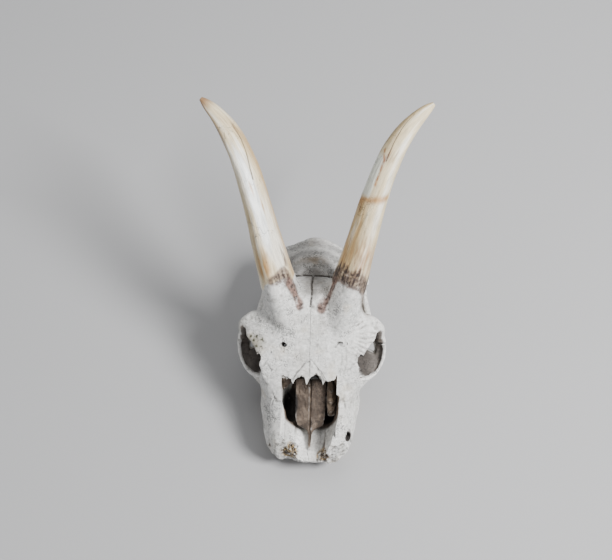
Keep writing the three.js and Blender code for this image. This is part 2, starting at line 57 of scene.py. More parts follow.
def linear(hexed):
    """An sRGB hex colour as the linear values that a shader takes."""
    parts = [int(hexed[i : i + 2], 16) / 255 for i in (1, 3, 5)]
    return tuple(c / 12.92 if c <= 0.04045 else ((c + 0.055) / 1.055) ** 2.4 for c in parts)


class SkullSizes(bpy.types.PropertyGroup):
    """Sizes that set the skull's shape and how finely it is made"""

    eye_half: bpy.props.FloatProperty(
        name="Eye socket reach", description="Middle of the skull to the outer edge of an eye socket",
        default=0.053, min=0.03, max=0.09, unit="LENGTH")
    horn_out: bpy.props.FloatProperty(
        name="Horn spread", description="How far a horn tip stands out from its root",
        default=0.0595, min=0.0, max=0.2, unit="LENGTH")
    horn_back: bpy.props.FloatProperty(
        name="Horn reach", description="How far a horn tip lies behind its root",
        default=0.101, min=0.02, max=0.3, unit="LENGTH")
    horn_up: bpy.props.FloatProperty(
        name="Horn height", description="How far a horn tip stands above its root",
        default=0.095, min=0.02, max=0.3, unit="LENGTH")
    suture: bpy.props.FloatProperty(
        name="Suture width", description="Clear space between neighbouring bones",
        default=0.00028, min=0.0001, max=0.001, precision=5, unit="LENGTH")
    grain: bpy.props.FloatProperty(
        name="Mesh grain", description="Edge length of the finished bone surface",
        default=0.00058, min=0.0003, max=0.002, precision=5, unit="LENGTH")


class SkullColours(bpy.types.PropertyGroup):
    """Colours of bone, horn core and stain"""

    bone: bpy.props.FloatVectorProperty(
        name="Bone", description="Sun-bleached bone", subtype="COLOR",
        default=linear("#dbdad6"), min=0, max=1)
    ivory: bpy.props.FloatVectorProperty(
        name="Horn core", description="Smooth bone of the horn cores", subtype="COLOR",
        default=linear("#e2d2af"), min=0, max=1)
    ochre: bpy.props.FloatVectorProperty(
        name="Ochre stain", description="Warm stain along the horn cores", subtype="COLOR",
        default=linear("#b9854a"), min=0, max=1)
    umber: bpy.props.FloatVectorProperty(
        name="Dark stain", description="Dried tissue round the horn roots", subtype="COLOR",
        default=linear("#33241f"), min=0, max=1)


class SkullStage(bpy.types.PropertyGroup):
    """Camera place, aim, roll and lens"""

    eye: bpy.props.FloatVectorProperty(
        name="Camera place", description="Where the camera stands", subtype="XYZ", unit="LENGTH",
        default=(0.0481, -0.5132, 1.0316))
    target: bpy.props.FloatVectorProperty(
        name="Camera aim", description="The point in the middle of the picture", subtype="XYZ",
        unit="LENGTH", default=(-0.0080, 0.0292, 0.060))
    roll: bpy.props.FloatProperty(
        name="Camera roll", description="How far the picture is turned", subtype="ANGLE",
        default=math.radians(-3.474))
    lens: bpy.props.FloatProperty(
        name="Lens", description="Focal length on a 36 mm wide sensor", default=87.4, unit="CAMERA")


# Shapes from sections


def track(*stations):
    """A smooth curve through (place, value) stations, level past both ends and never overshooting."""
    xs, ys = np.array(stations, float).T
    rise = np.diff(ys) / np.diff(xs)
    inner = [0 if a * b <= 0 else 2 * a * b / (a + b) for a, b in zip(rise, rise[1:])]
    slopes = np.array([rise[0], *inner, rise[-1]])

    def at(place):
        place = np.clip(place, xs[0], xs[-1])
        i = np.clip(np.searchsorted(xs, place, side="right") - 1, 0, len(xs) - 2)
        span = xs[i + 1] - xs[i]
        t = (place - xs[i]) / span
        s = 1 - t
        ends = ys[i] * s * s * (1 + 2 * t) + ys[i + 1] * t * t * (1 + 2 * s)
        return ends + slopes[i] * span * t * s * s - slopes[i + 1] * span * s * t * t

    return at


def hermite(p0, p1, p2, p3, u):
    """Points between p1 and p2 on a centripetal curve."""
    a, b, c = (np.maximum(np.linalg.norm(q - p, axis=-1, keepdims=True) ** 0.5, 1e-4)
               for p, q in ((p0, p1), (p1, p2), (p2, p3)))
    m1 = ((p1 - p0) / a - (p2 - p0) / (a + b) + (p2 - p1) / b) * b
    m2 = ((p2 - p1) / b - (p3 - p1) / (b + c) + (p3 - p2) / c) * b
    u = u[:, None]
    return ((2 * u**3 - 3 * u**2 + 1) * p1 + (u**3 - 2 * u**2 + u) * m1
            + (3 * u**2 - 2 * u**3) * p2 + (u**3 - u**2) * m2)


def closed_curve(points, count):
    """Points along a closed smooth curve through the given ones."""
    points = np.asarray(points, float)
    t = np.arange(count) / count * len(points)
    i = t.astype(int)
    return hermite(*(points[(i + k) % len(points)] for k in (-1, 0, 1, 2)), t - i)


def open_curve(points, t):
    """Points along an open smooth curve through the given ones, for t from 0 to 1."""
    points = np.asarray(points, float)
    ends = [2 * points[0] - points[1], *points, 2 * points[-1] - points[-2]]
    points = np.array(ends)
    t = np.clip(t, 0, 1) * (len(points) - 3)
    i = np.minimum(t.astype(int), len(points) - 4)
    return hermite(*(points[i + k] for k in range(4)), t - i)


def signed_power(values, power):
    """Each value's size raised to a power, with its sign kept."""
    return np.sign(values) * np.abs(values) ** power


def circle(around):
    """Cosines and sines of equal steps round a circle."""
    angle = np.linspace(0, 2 * np.pi, around, endpoint=False)
    return np.cos(angle), np.sin(angle)


def oval_ring(y, middle, half, up, down, square=2.0, around=64):
    """One ring across the skull round a middle (x, z)."""
    c, s = (signed_power(v, 2 / square) for v in circle(around))
    heights = middle[1] + np.where(s > 0, up, down) * s
    return np.column_stack([middle[0] + half * c, np.full(around, y), heights])


def mirrored_ring(y, half, around=72, shift=0.0):
    """One ring across the skull through half an outline (x, z), from lower middle to upper middle."""
    outline = list(half) + [(-x, z) for x, z in reversed(half) if x > 0]
    ring = closed_curve([(x + shift, y, z) for x, z in outline], around)
    ring[:, 1] = y
    return ring


def rod(stations, side=1, up=(0, 0, 1), steps=48, around=32, square=2.0):
    """Rings along a smooth path: stations are (x, y, z, half across up, half along up)."""
    stations = np.array(stations, float)
    t = np.linspace(0, 1, steps + 1)
    path = open_curve(stations[:, :3], t)
    places = np.linspace(0, 1, len(stations))
    across, tall = (track(*zip(places, stations[:, k]))(t) for k in (3, 4))
    forward = open_curve(stations[:, :3], t + 1e-3) - open_curve(stations[:, :3], t - 1e-3)
    forward /= np.linalg.norm(forward, axis=1, keepdims=True)
    sideways = np.cross(forward, up)
    sideways /= np.linalg.norm(sideways, axis=1, keepdims=True)
    lifted = np.cross(sideways, forward)
    c, s = (signed_power(v, 2 / square)[None, :, None] for v in circle(around))
    rings = (path[:, None] + across[:, None, None] * c * sideways[:, None]
             + tall[:, None, None] * s * lifted[:, None])
    return rings * (side, 1, 1)


def ball(middle, radii, side=1, tilt=0.0, around=40):
    """Rings over a stretched ball, turned about the width axis by tilt."""
    polar = np.linspace(0.02, np.pi - 0.02, around // 2)
    c, s = circle(around)
    rings = np.stack([np.outer(np.sin(polar), c), np.outer(np.cos(polar), np.ones(around)),
                      np.outer(np.sin(polar), s)], -1) * radii
    y, z = rings[..., 1].copy(), rings[..., 2].copy()
    rings[..., 1] = y * math.cos(tilt) - z * math.sin(tilt)
    rings[..., 2] = y * math.sin(tilt) + z * math.cos(tilt)
    return (rings + middle) * (side, 1, 1)


def prism(outline, low, high, axis):
    """Two rings of a flat outline, at a low and a high place along an axis (0 for X, 2 for Z)."""
    outline = np.asarray(outline, float)
    return [np.insert(outline, axis, place, axis=1) for place in (low, high)]


def mesh_object(name, shells):
    """One mesh object from closed shells, each a stack of rings in skull millimetres."""
    mesh = bmesh.new()
    for rings in shells:
        rows = [[mesh.verts.new((p - ORIGIN) * MM) for p in ring] for ring in rings]
        for lower, upper in zip(rows, rows[1:]):
            for k, vert in enumerate(lower):
                n = (k + 1) % len(lower)
                mesh.faces.new((vert, lower[n], upper[n], upper[k]))
        mesh.faces.new(rows[0][::-1])
        mesh.faces.new(rows[-1])
    bmesh.ops.recalc_face_normals(mesh, faces=mesh.faces)
    data = bpy.data.meshes.new(name)
    mesh.to_mesh(data)
    mesh.free()
    made = bpy.data.objects.new(name, data)
    bpy.context.collection.objects.link(made)
    return made


def finish_with(target, kind, **settings):
    """Adds one modifier to an object and applies it."""
    bpy.ops.object.select_all(action="DESELECT")
    target.select_set(True)
    bpy.context.view_layer.objects.active = target
    modifier = target.modifiers.new(kind.title(), kind)
    for name, value in settings.items():
        setattr(modifier, name, value)
    if bpy.ops.object.modifier_apply(modifier=modifier.name) != {"FINISHED"}:
        raise RuntimeError(f"{kind} could not be applied to {target.name}")
    return target


def carve(target, cutter, operation="DIFFERENCE", keep=False):
    """Cuts one closed mesh by another, or keeps what they share."""
    finish_with(target, "BOOLEAN", operation=operation, solver="MANIFOLD", object=cutter)
    if not keep:
        bpy.data.objects.remove(cutter)
    return target


def fused(name, shells, grain):
    """Shells melted into one closed surface."""
    made = mesh_object(name, shells)
    return finish_with(made, "REMESH", mode="VOXEL", voxel_size=grain)


def largest_part(target):
    """Drops every loose crumb and keeps the largest closed surface."""
    mesh = bmesh.new()
    mesh.from_mesh(target.data)
    unseen = set(mesh.verts)
    parts = []
    while unseen:
        start = unseen.pop()
        part, edge = [start], [start]
        while edge:
            for link in edge.pop().link_edges:
                for vert in link.verts:
                    if vert in unseen:
                        unseen.discard(vert)
                        part.append(vert)
                        edge.append(vert)
        parts.append(part)
    for part in sorted(parts, key=len)[:-1]:
        bmesh.ops.delete(mesh, geom=part, context="VERTS")
    mesh.to_mesh(target.data)
    mesh.free()
    return target


# Surfaces as arrays of points


def points_of(target):
    """The points of a mesh in skull millimetres."""
    flat = np.empty(len(target.data.vertices) * 3)
    target.data.vertices.foreach_get("co", flat)
    return flat.reshape(-1, 3) / MM + ORIGIN


def set_points(target, points):
    """Moves the points of a mesh to places in skull millimetres."""
    target.data.vertices.foreach_set("co", ((points - ORIGIN) * MM).ravel())
    target.data.update()


def normals_of(target):
    """The direction that the surface faces at each point."""
    flat = np.empty(len(target.data.vertices) * 3)
    target.data.vertex_normals.foreach_get("vector", flat)
    return flat.reshape(-1, 3)


def edges_of(target):
    """The two points at the ends of each edge, by number."""
    flat = np.empty(len(target.data.edges) * 2, np.int32)
    target.data.edges.foreach_get("vertices", flat)
    return flat.reshape(-1, 2)


def spread(values, edges, rounds=1):
    """Each point's value averaged with its neighbours', some rounds over."""
    first, second = edges.T
    count = np.maximum(np.bincount(edges.ravel(), minlength=len(values)), 1)
    columns = values.reshape(len(values), -1).T.copy()
    for _ in range(rounds):
        for k, column in enumerate(columns):
            total = np.bincount(first, weights=column[second], minlength=len(values))
            total += np.bincount(second, weights=column[first], minlength=len(values))
            columns[k] = total / count
    return columns.T.reshape(values.shape)


LATTICE = np.random.default_rng(41).uniform(-1, 1, (32, 32, 32, 3))


def drift(points, size, seed=0):
    """Three smooth random values for each point, from -1 to 1, with bumps of a size in millimetres."""
    scaled = np.asarray(points) / size + seed * 7.31 + 100
    base = np.floor(scaled).astype(int)
    part = scaled - base
    part = part * part * (3 - 2 * part)
    total = np.zeros(base.shape)
    for corner in np.ndindex(2, 2, 2):
        weight = np.prod(np.where(corner, part, 1 - part), axis=1, keepdims=True)
        total += weight * LATTICE[tuple(((base + corner) % 32).T)]
    return total


def rough(points, size, seed=0, layers=3):
    """One random value for each point, with finer bumps layered on coarse ones."""
    return sum(drift(points, size / 2**k, seed + k)[:, 0] / 2**k for k in range(layers)) / 1.6


def ramp(value, low, high):
    """Rises smoothly from 0 at low to 1 at high."""
    t = np.clip((value - low) / (high - low), 0, 1)
    return t * t * (3 - 2 * t)


def near(points, middle, radii):
    """One at the middle, falling smoothly to nothing at the radii."""
    apart = np.linalg.norm((points - middle) / radii, axis=1)
    return 1 - ramp(apart, 0, 1)


def along(points, path, width):
    """One on a path of points, falling to nothing a width away from it."""
    path = np.asarray(path, float)
    best = np.full(len(points), 1e9)
    for a, b in zip(path, path[1:]):
        t = np.clip((points - a) @ (b - a) / ((b - a) @ (b - a)), 0, 1)
        best = np.minimum(best, np.linalg.norm(points - a - t[:, None] * (b - a), axis=1))
    return 1 - ramp(best, 0, width)


# The skull's forms

profile = track(
    (-5, 33), (10, 42), (25, 52), (47, 64), (60, 72), (75, 83.5), (88, 93), (98, 98), (106, 97.5),
    (115, 92.5), (123, 87), (136, 82.5), (148, 77), (157, 71), (164, 63), (169, 54), (172, 47))
NOSE_SHIFT = 1.6  # the open nose lies a little to the animal's left


def muzzle():
    """Both upper jaw bones and the tear bones behind them, before the nose is opened"""
    jaw = track((-2, 17), (8, 22), (30, 28), (50, 31), (68, 29))
    bulge = track((-2, 19), (4, 23.5), (13, 30), (30, 34), (50, 35.5), (60, 35.5), (68, 30))
    shoulder = track((-2, 18), (10, 24), (30, 28.5), (47, 33), (58, 36.5), (68, 36))
    floor = track((-2, 17), (10, 12.5), (30, 10.5), (54, 11), (68, 18))
    for y in np.linspace(-2, 68, 60):
        top, low = profile(y) - 0.3, floor(y)
        tall = top - low
        yield mirrored_ring(y, [
            (0, low + 3.5), (0.5 * jaw(y), low + 3), (jaw(y) - 2, low), (jaw(y) + 1, low + 4),
            (bulge(y), low + 0.38 * tall), (shoulder(y), low + 0.78 * tall), (0.74 * shoulder(y), top - 3),
            (0.36 * shoulder(y), top - 0.6), (0, top)], 96)


def forehead(eye_half):
    """The forehead with the thin roof over each eye"""
    half = track(
        (44, 27), (52, 34.6), (58, 36.6), (65, 39), (72, 43.4), (78, eye_half - 5.4), (85, eye_half - 5),
        (89, 45), (93, 40), (100, 36.5), (112, 34), (120, 25))
    edge = track(
        (44, 55), (52, 62), (58, 68), (65, 72), (76, 75), (87, 75), (91, 80), (95, 85), (100, 88),
        (120, 76))
    deep = track((44, 5), (60, 8), (80, 12), (100, 18), (120, 14))
    for y in np.linspace(44, 120, 90):
        wide, top, rim = half(y), profile(y), edge(y)
        shares = np.array([0.45, 0.86, 0.62, 0.3])
        inner, outer, middle, crown = top - (top - rim) * shares**2.2
        yield mirrored_ring(y, [
            (0, top - deep(y)), (0.45 * wide, inner - 0.75 * deep(y)), (0.86 * wide, outer - 4.5),
            (wide - 1, rim - 3), (wide, rim - 0.6), (0.86 * wide, outer), (0.62 * wide, middle),
            (0.3 * wide, crown), (0, top)], 110)


def between_eyes():
    """The walls between the eye sockets"""
    half = track((40, 21), (52, 20.5), (62, 18), (74, 14.5), (84, 15.5), (96, 22), (104, 26))
    low = track((40, 24), (60, 30), (80, 39), (104, 36))
    for y in np.linspace(40, 104, 40):
        tall = (profile(y) - low(y)) / 2 - 2
        yield oval_ring(y, (0, (profile(y) + low(y)) / 2), half(y), tall, tall, 3)


def brain_case():
    """The rounded case behind the eye sockets"""
    half = track((88, 17), (96, 24), (106, 28.5), (120, 31.5), (136, 33), (150, 32.5), (159, 31), (164, 27),
                 (169, 19), (172, 11))
    low = track((88, 42), (104, 36), (130, 31), (160, 30), (172, 34))
    widest = track((88, 62), (130, 58), (160, 50), (172, 42))
    for y in np.concatenate([np.linspace(88, 155, 50), np.linspace(156, 172, 24)]):
        square = 2.15 - 0.35 * ramp(y, 138, 156)
        yield oval_ring(y, (0, widest(y)), half(y), profile(y) - widest(y), widest(y) - low(y), square, 90)


def skull_base():
    """The keel under the brain case"""
    half = track((84, 7), (110, 8.5), (140, 11), (160, 14), (168, 15))
    for y in np.linspace(84, 168, 30):
        yield oval_ring(y, (0, 36), half(y), 8, 7, 3, 48)


def palate_core():
    """The bone over the back of the palate"""
    half = track((36, 20), (56, 18), (70, 15.5), (80, 14))
    for y in np.linspace(36, 80, 20):
        yield oval_ring(y, (0, 30), half(y), 13, 14.5, 3.4, 64)


NUCHAL_CREST = [
    (-31, 151, 42, 2.6, 2.4), (-28.6, 153.5, 52, 3, 2.4), (-21, 156, 60.5, 3, 2.5),
    (-11, 158.5, 67.6, 3, 2.5), (0, 160.5, 71, 3.2, 2.6), (12, 158.5, 67.6, 3, 2.5),
    (21, 156, 60.5, 3, 2.5), (28.6, 153.5, 52, 3, 2.4), (31, 151, 42, 2.6, 2.4)]
CHEEK_ARCH = [
    (27, 36, 26, 4.6, 6), (31, 48, 28.5, 4.8, 7), (31.8, 58, 31, 4.4, 7.2), (39, 66, 35, 4.4, 6.8),
    (46, 73, 38, 4, 6.2), (50, 80, 41.5, 3.3, 5.6), (48.4, 88, 45, 2.9, 5), (44.6, 98, 48, 2.6, 4.6),
    (40.8, 108, 50.5, 2.5, 4.4), (37.6, 120, 52, 2.8, 4.6), (34.5, 130, 51.5, 4.2, 5.6), (28, 137, 50, 6, 7)]
JAW_END = [(24, 44, 23, 8, 11), (26, 60, 22, 7.5, 11), (25.5, 72, 23, 5.5, 9), (24, 77, 26, 2.5, 5)]
NECK_PROCESS = [
    (28, 155, 44, 6, 5), (28.5, 156, 30, 7, 4.4), (27, 155, 16, 5, 3.2), (25.5, 153, 5, 3.4, 2.4),
    (25, 152.5, -3, 2.8, 2.2)]
EAR_TUBE = [(22, 140, 36, 6, 6), (32, 142, 43, 5.6, 5.6), (39, 143.5, 46, 5.4, 5.4)]
EAR_HOLE = [(30, 141.6, 42, 2.4, 2.4), (42, 144.2, 47.2, 3.6, 3.6)]
THROAT_PLATE = [
    (13.4, 64, 30, 2.2, 14), (12.6, 76, 32, 1.7, 13), (11.4, 88, 34, 1.5, 10), (10.6, 98, 34, 1.5, 8.5),
    (10.4, 108, 36, 2, 5)]
EYE_SPACE = [
    (17, 84, 55, 3, 3), (27, 77, 54.5, 11, 10.5), (40, 70.5, 54.4, 14.6, 14.6), (52, 66, 54.2, 16.4, 15.4),
    (66, 61, 54.6, 20, 18)]
NECK_HOLE = [(0, 186, 41, 11.5, 9.5), (0, 170, 42, 10.5, 9), (0, 158, 46, 11, 10), (0, 136, 54, 15, 13)]
THROAT_SPACE = [
    (0, 48, 29, 8, 8), (0, 60, 29.5, 9, 8.5), (0, 76, 29.5, 9.6, 9.5), (0, 88, 28.5, 9.4, 10.5),
    (0, 104, 27, 8.6, 10)]
THROAT_NOTCH = [(-9, 68), (-4, 64), (4, 64), (9, 68), (9, 110), (-9, 110)]


def eye_bar(eye_half):
    """The bar that closes an eye socket behind"""
    return [(39, 93.5, 80, 4.5, 3.6), (46, 91, 77.6, 3.8, 3), (eye_half - 3, 88.4, 73.6, 3.6, 3),
            (eye_half - 3.2, 87.2, 68, 3.8, 3.8), (eye_half - 3.1, 85.4, 60, 4.4, 3.9),
            (50.4, 82, 50, 4.4, 3.2), (50, 78, 42, 5, 3)]


def eye_lip(eye_half):
    """The thin raised lip round the lower half of an eye socket"""
    return [(eye_half - 0.4, 84.6, 63, 1.2, 1.5), (eye_half + 0.3, 83.2, 57, 1.1, 1.5),
            (eye_half + 0.5, 80, 50, 1.1, 1.5), (52.3, 75, 43.6, 1.2, 1.4), (48.6, 68.4, 40.2, 1.3, 1.3),
            (43.3, 63.4, 39.6, 1.4, 1.3), (37, 60.4, 41.6, 1.3, 1.2)]


NOSE_HALF = track((-8, 8), (0, 11.5), (12, 16.6), (28, 19.2), (47, 19.6), (60, 15), (70, 11), (78, 8))


def nose_space(inset=0.0):
    """The open trough of the nose, running on behind under the thin roof"""
    floor = track((-8, 20.5), (20, 20.5), (50, 21.5), (58, 36), (78, 46))
    for y in np.concatenate([np.linspace(-8, 39.6, 36), np.linspace(40.4, 78, 34)]):
        wide, low = NOSE_HALF(y) - inset, floor(y) + inset
        top = profile(y) + 8 if y < 40 else profile(y) - 2.2 - 1.4 * ramp(y, 58, 70) - inset
        tall = profile(y) - low
        yield mirrored_ring(y, [
            (0, low), (0.5 * wide, low + 1.6), (0.84 * wide, low + 0.34 * tall), (wide, low + 0.66 * tall),
            (0.97 * wide, top - 3.4), (0.6 * wide, top - 0.3), (0, top)], 80, NOSE_SHIFT * ramp(y, 5, 30))


# Horn cores

HORN_ROOT = (102, 96)
HORN_LENGTH = 165
HORN_SET = {-1: 21, 1: 24}
LEAN = (math.radians(62), math.radians(22))
HORN_ACROSS = track(
    (-0.18, 18), (-0.06, 15), (0.06, 13.4), (0.3, 11.2), (0.5, 9.9), (0.7, 8.7), (0.82, 7.5), (0.92, 5.4),
    (0.97, 3.6), (1, 1.3))
HORN_DEPTH = track(
    (-0.18, 18), (-0.06, 18), (0.06, 17), (0.5, 12.4), (0.8, 8.8), (0.92, 5.8), (0.97, 3.8), (1, 1.4))


def horn_line(side, t, sizes):
    """Points on a horn's middle line: steep at first, leaning back, and turned out at the tip."""
    turn = LEAN[0] - LEAN[1]
    lean = LEAN[0] - turn * t
    reach = np.array([sizes.horn_out, sizes.horn_back, sizes.horn_up]) / MM
    out = 0.6 * t + 0.4 * np.maximum(t, 0) ** 6
    back = (math.sin(LEAN[0]) - np.sin(lean)) / (math.sin(LEAN[0]) - math.sin(LEAN[1]))
    rise = (np.cos(lean) - math.cos(LEAN[0])) / (math.cos(LEAN[1]) - math.cos(LEAN[0]))
    return np.stack([side * (HORN_SET[side] + out * reach[0]), HORN_ROOT[0] + back * reach[1],
                     HORN_ROOT[1] + rise * reach[2]], -1)


def horn_frame(side, t, sizes):
    """A horn's middle line with its forward, front and outward directions."""
    middle = horn_line(side, t, sizes)
    forward = horn_line(side, t + 0.01, sizes) - horn_line(side, t - 0.01, sizes)
    forward /= np.linalg.norm(forward, axis=1, keepdims=True)
    front = np.array([0, -1, 0]) + forward * forward[:, 1:2]
    front /= np.linalg.norm(front, axis=1, keepdims=True)
    out = np.cross(forward, front)
    out *= np.sign(out[:, :1]) * side
    return middle, forward, front, out


def horn_rings(side, t, sizes, around=112, swell=0.0):
    """Rings of a horn core at shares of its length, flat on the inner side with a blunt keel in front."""
    t = np.asarray(t, float)
    middle, _, front, out = horn_frame(side, t, sizes)
    c, s = circle(around)
    keel = 1 + 0.1 * np.maximum(c, 0) ** 6
    inner = np.where(s < 0, 0.9, 1.0)
    deep = (HORN_DEPTH(t) + swell)[:, None] * keel * c
    wide = (HORN_ACROSS(t) + swell)[:, None] * inner * s
    return middle[:, None] + deep[..., None] * front[:, None] + wide[..., None] * out[:, None]


def horn_measure(points, side, sizes):
    """Each point's share along a horn, its turn in degrees from the front outwards, and its distance."""
    samples = np.linspace(-0.25, 1.02, 44)
    line = horn_line(side, samples, sizes)
    gaps = ((points[:, None] - line[None]) ** 2).sum(axis=2)
    share = samples[gaps.argmin(axis=1)]
    for _ in range(3):
        middle, forward, front, out = horn_frame(side, share, sizes)
        step = np.linalg.norm(horn_line(side, share + 0.01, sizes) - middle, axis=1) / 0.01
        share = np.clip(share + ((points - middle) * forward).sum(axis=1) / step, -0.3, 1.03)
    middle, forward, front, out = horn_frame(side, share, sizes)
    away = points - middle
    turn = np.degrees(np.arctan2((away * out).sum(axis=1), (away * front).sum(axis=1)))
    return share, turn, np.linalg.norm(away, axis=1)


def laid_flat(share, turn):
    """A horn core's surface laid flat: millimetres from the root, and about a millimetre for 5 degrees."""
    return np.column_stack([share * HORN_LENGTH, turn / 5])


# The bones


class Parting:
    """Side outlines (y, z) that part the skull into bones, each with the widths that it spans"""

    start = 0.07  # how far beside the middle the paired bones begin
    end, far = 60, 200  # places past one side of the skull and past everything
    paired = {
        "zygomatic": [([(43, 20), (43, 38), (50, 43.5), (57, 45), (60, 50), (104, 50), (104, 20)], 30.5, end),
                      ([(57, 40), (60, 57), (96, 58), (97, 56), (112, 53), (104, 46), (104, 40)], 38, end)],
        "lacrimal": [([(37, 53), (46, 61.5), (54.5, 62), (62, 62), (62, 46), (50, 44), (44, 46)], 17, end)],
        "frontal": [([(43.5, 63), (54, 62), (60, 58), (60, 52), (84, 52), (98, 58), (108, 68), (117, 77),
                      (121.5, 84), (122.5, 130), (20, 130), (20, 74)], start, end),
                    ([(60, 56.8), (92, 57.6), (100, 60), (100, 90), (60, 90)], 30, end)],
        "maxilla": [([(-20, -20), (53, -20), (53, 45), (57, 50), (62, 62), (44, 70), (-20, 80)], start, end),
                    ([(50, -20), (80, -20), (80, 30), (66, 38), (50, 48)], 17, end)],
        "temporal": [([(90, 30), (90, 62), (104, 60), (118, 66), (134, 68), (149, 60), (150, 40), (154, 34),
                       (150, 26), (150, 8), (118, 8), (118, 34)], 11.5, end)],
    }
    single = {
        "sphenoid": [([(52, -20), (52, 53), (84, 52), (98, 58), (104, 60), (118, 64), (124, 50), (126, 8),
                       (110, -20)], -far, far)],
        "parietal": [([(95, 60), (104, 66), (117, 77), (121.5, 84), (122.5, 130), (150, 130), (156, 76),
                       (157, 66), (148, 58)], -far, far)],
        "occipital": [([(110, -20), (110, 120), (200, 120), (200, -20)], -far, far)],
    }
    nasal = [(start, 62.5), (5, 56.5), (10, 50.5), (13, 46), (13, 30), (start, 30)]  # from above (x, y)


def widened(outline, distance):
    """An outline with every corner moved outwards."""
    outline = np.asarray(outline, float)
    following = np.roll(outline, -1, axis=0)
    turn = np.sign(np.sum(outline[:, 0] * following[:, 1] - following[:, 0] * outline[:, 1]))
    sides = following - outline
    after = np.column_stack([sides[:, 1], -sides[:, 0]]) * turn
    after /= np.linalg.norm(after, axis=1, keepdims=True)
    before = np.roll(after, 1, axis=0)
    miter = before + after
    miter /= np.linalg.norm(miter, axis=1, keepdims=True)
    return outline + miter * distance / np.maximum(0.5, np.sum(miter * after, axis=1, keepdims=True))


def ripple(points):
    """How far the sutures wander at each point, so that flat cuts come out jagged."""
    return drift(points, 1.7, 3) * 0.34 + drift(points, 3.6, 4) * 0.42 + drift(points, 8.0, 5) * 0.6


def unrippled(points):
    """The points that the ripple moved here."""
    settled = points.copy()
    for _ in range(14):
        settled = points - ripple(settled)
    return settled


def forms(sizes):
    """All that is added, as closed shells"""
    eye_half = sizes.eye_half / MM
    shells = [list(f) for f in (muzzle(), forehead(eye_half), between_eyes(), brain_case(), skull_base(),
                                palate_core())]
    shells.append(rod(NUCHAL_CREST, up=(0, 1, 0), steps=90, around=20))
    for side in SIDES.values():
        shells += [
            rod(JAW_END, side), rod(CHEEK_ARCH, side, steps=110), ball((36, 76, 38), (15, 12.6, 8), side),
            rod(eye_bar(eye_half), side, up=(1, 0, 0)), ball((12.5, 165, 36), (8.5, 8.5, 11), side, -0.5),
            rod(NECK_PROCESS, side, up=(1, 0, 0)), ball((20, 139, 25), (7.5, 12, 12), side, 0.25),
            rod(EAR_TUBE, side, steps=16), horn_rings(side, np.linspace(-0.18, 0.16, 26), sizes, swell=-0.3)]
    return shells


def hollows():
    """All large spaces, as closed shells"""
    shells = [list(nose_space()), rod(THROAT_SPACE, steps=40, square=2.6), prism(THROAT_NOTCH, 0, 26, 2),
              rod(NECK_HOLE, steps=40, around=48)]
    for side in SIDES.values():
        shells += [rod(EYE_SPACE, side, steps=50, around=64, square=2.2), rod(EAR_HOLE, side, steps=10),
                   ball((13.3, 46, 32), (8.8, 16, 14.5), side, around=56)]
    return shells


ROOF_EDGE = track(
    (-25, 51), (-20, 50.6), (-16, 50.4), (-13.2, 49.4), (-11.5, 46), (-10, 49), (-6.6, 50.4), (-4.5, 50.8),
    (-3, 49.4), (-1.7, 45), (-0.4, 48), (1.3, 50.4), (4.9, 52.2), (7.6, 50.4), (9, 49.6), (9.9, 46.4),
    (12, 48.4), (16, 48.2), (18.6, 50), (19.7, 52), (25, 52))
MUZZLE_EDGE = track(
    (-40, 22), (-33, 15), (-30, 12.5), (-28, 11.6), (-26.4, 9), (-24, 7.6), (-22, 6.5), (-17, 8),
    (-12, 6.5), (-7, 3.6), (-3, 3), (4, 3), (8, 3.6), (12, 4.8), (15, 4), (18, 6), (22, 6.5), (25, 9),
    (28, 10), (33, 14), (40, 20))


def break_face(across, heights, edge, front):
    """A ragged broken face: a block from the front back to the edge, with a rough back wall."""
    xs, zs = np.arange(*across, 0.6), np.arange(*heights, 0.6)
    rings = []
    for z in zs:
        wall = np.column_stack([xs, np.array([edge(x, z) for x in xs]), np.full(len(xs), z)])
        wall[:, 1] = np.maximum(wall[:, 1] + rough(wall * (1, 0, 1), 1.3, 11) * 1.5, 3.1)
        corners = [(xs[-1], front, z), (xs[0], front, z)]
        rings.append(np.vstack([wall, corners]))
    return rings


def pits(seed, count, low, high, size):
    """Small ball-shaped holes scattered in a box."""
    random = np.random.default_rng(seed)
    for _ in range(count):
        radius = random.uniform(*size)
        yield ball(random.uniform(low, high), radius * random.uniform(0.7, 1.3, 3), around=12)


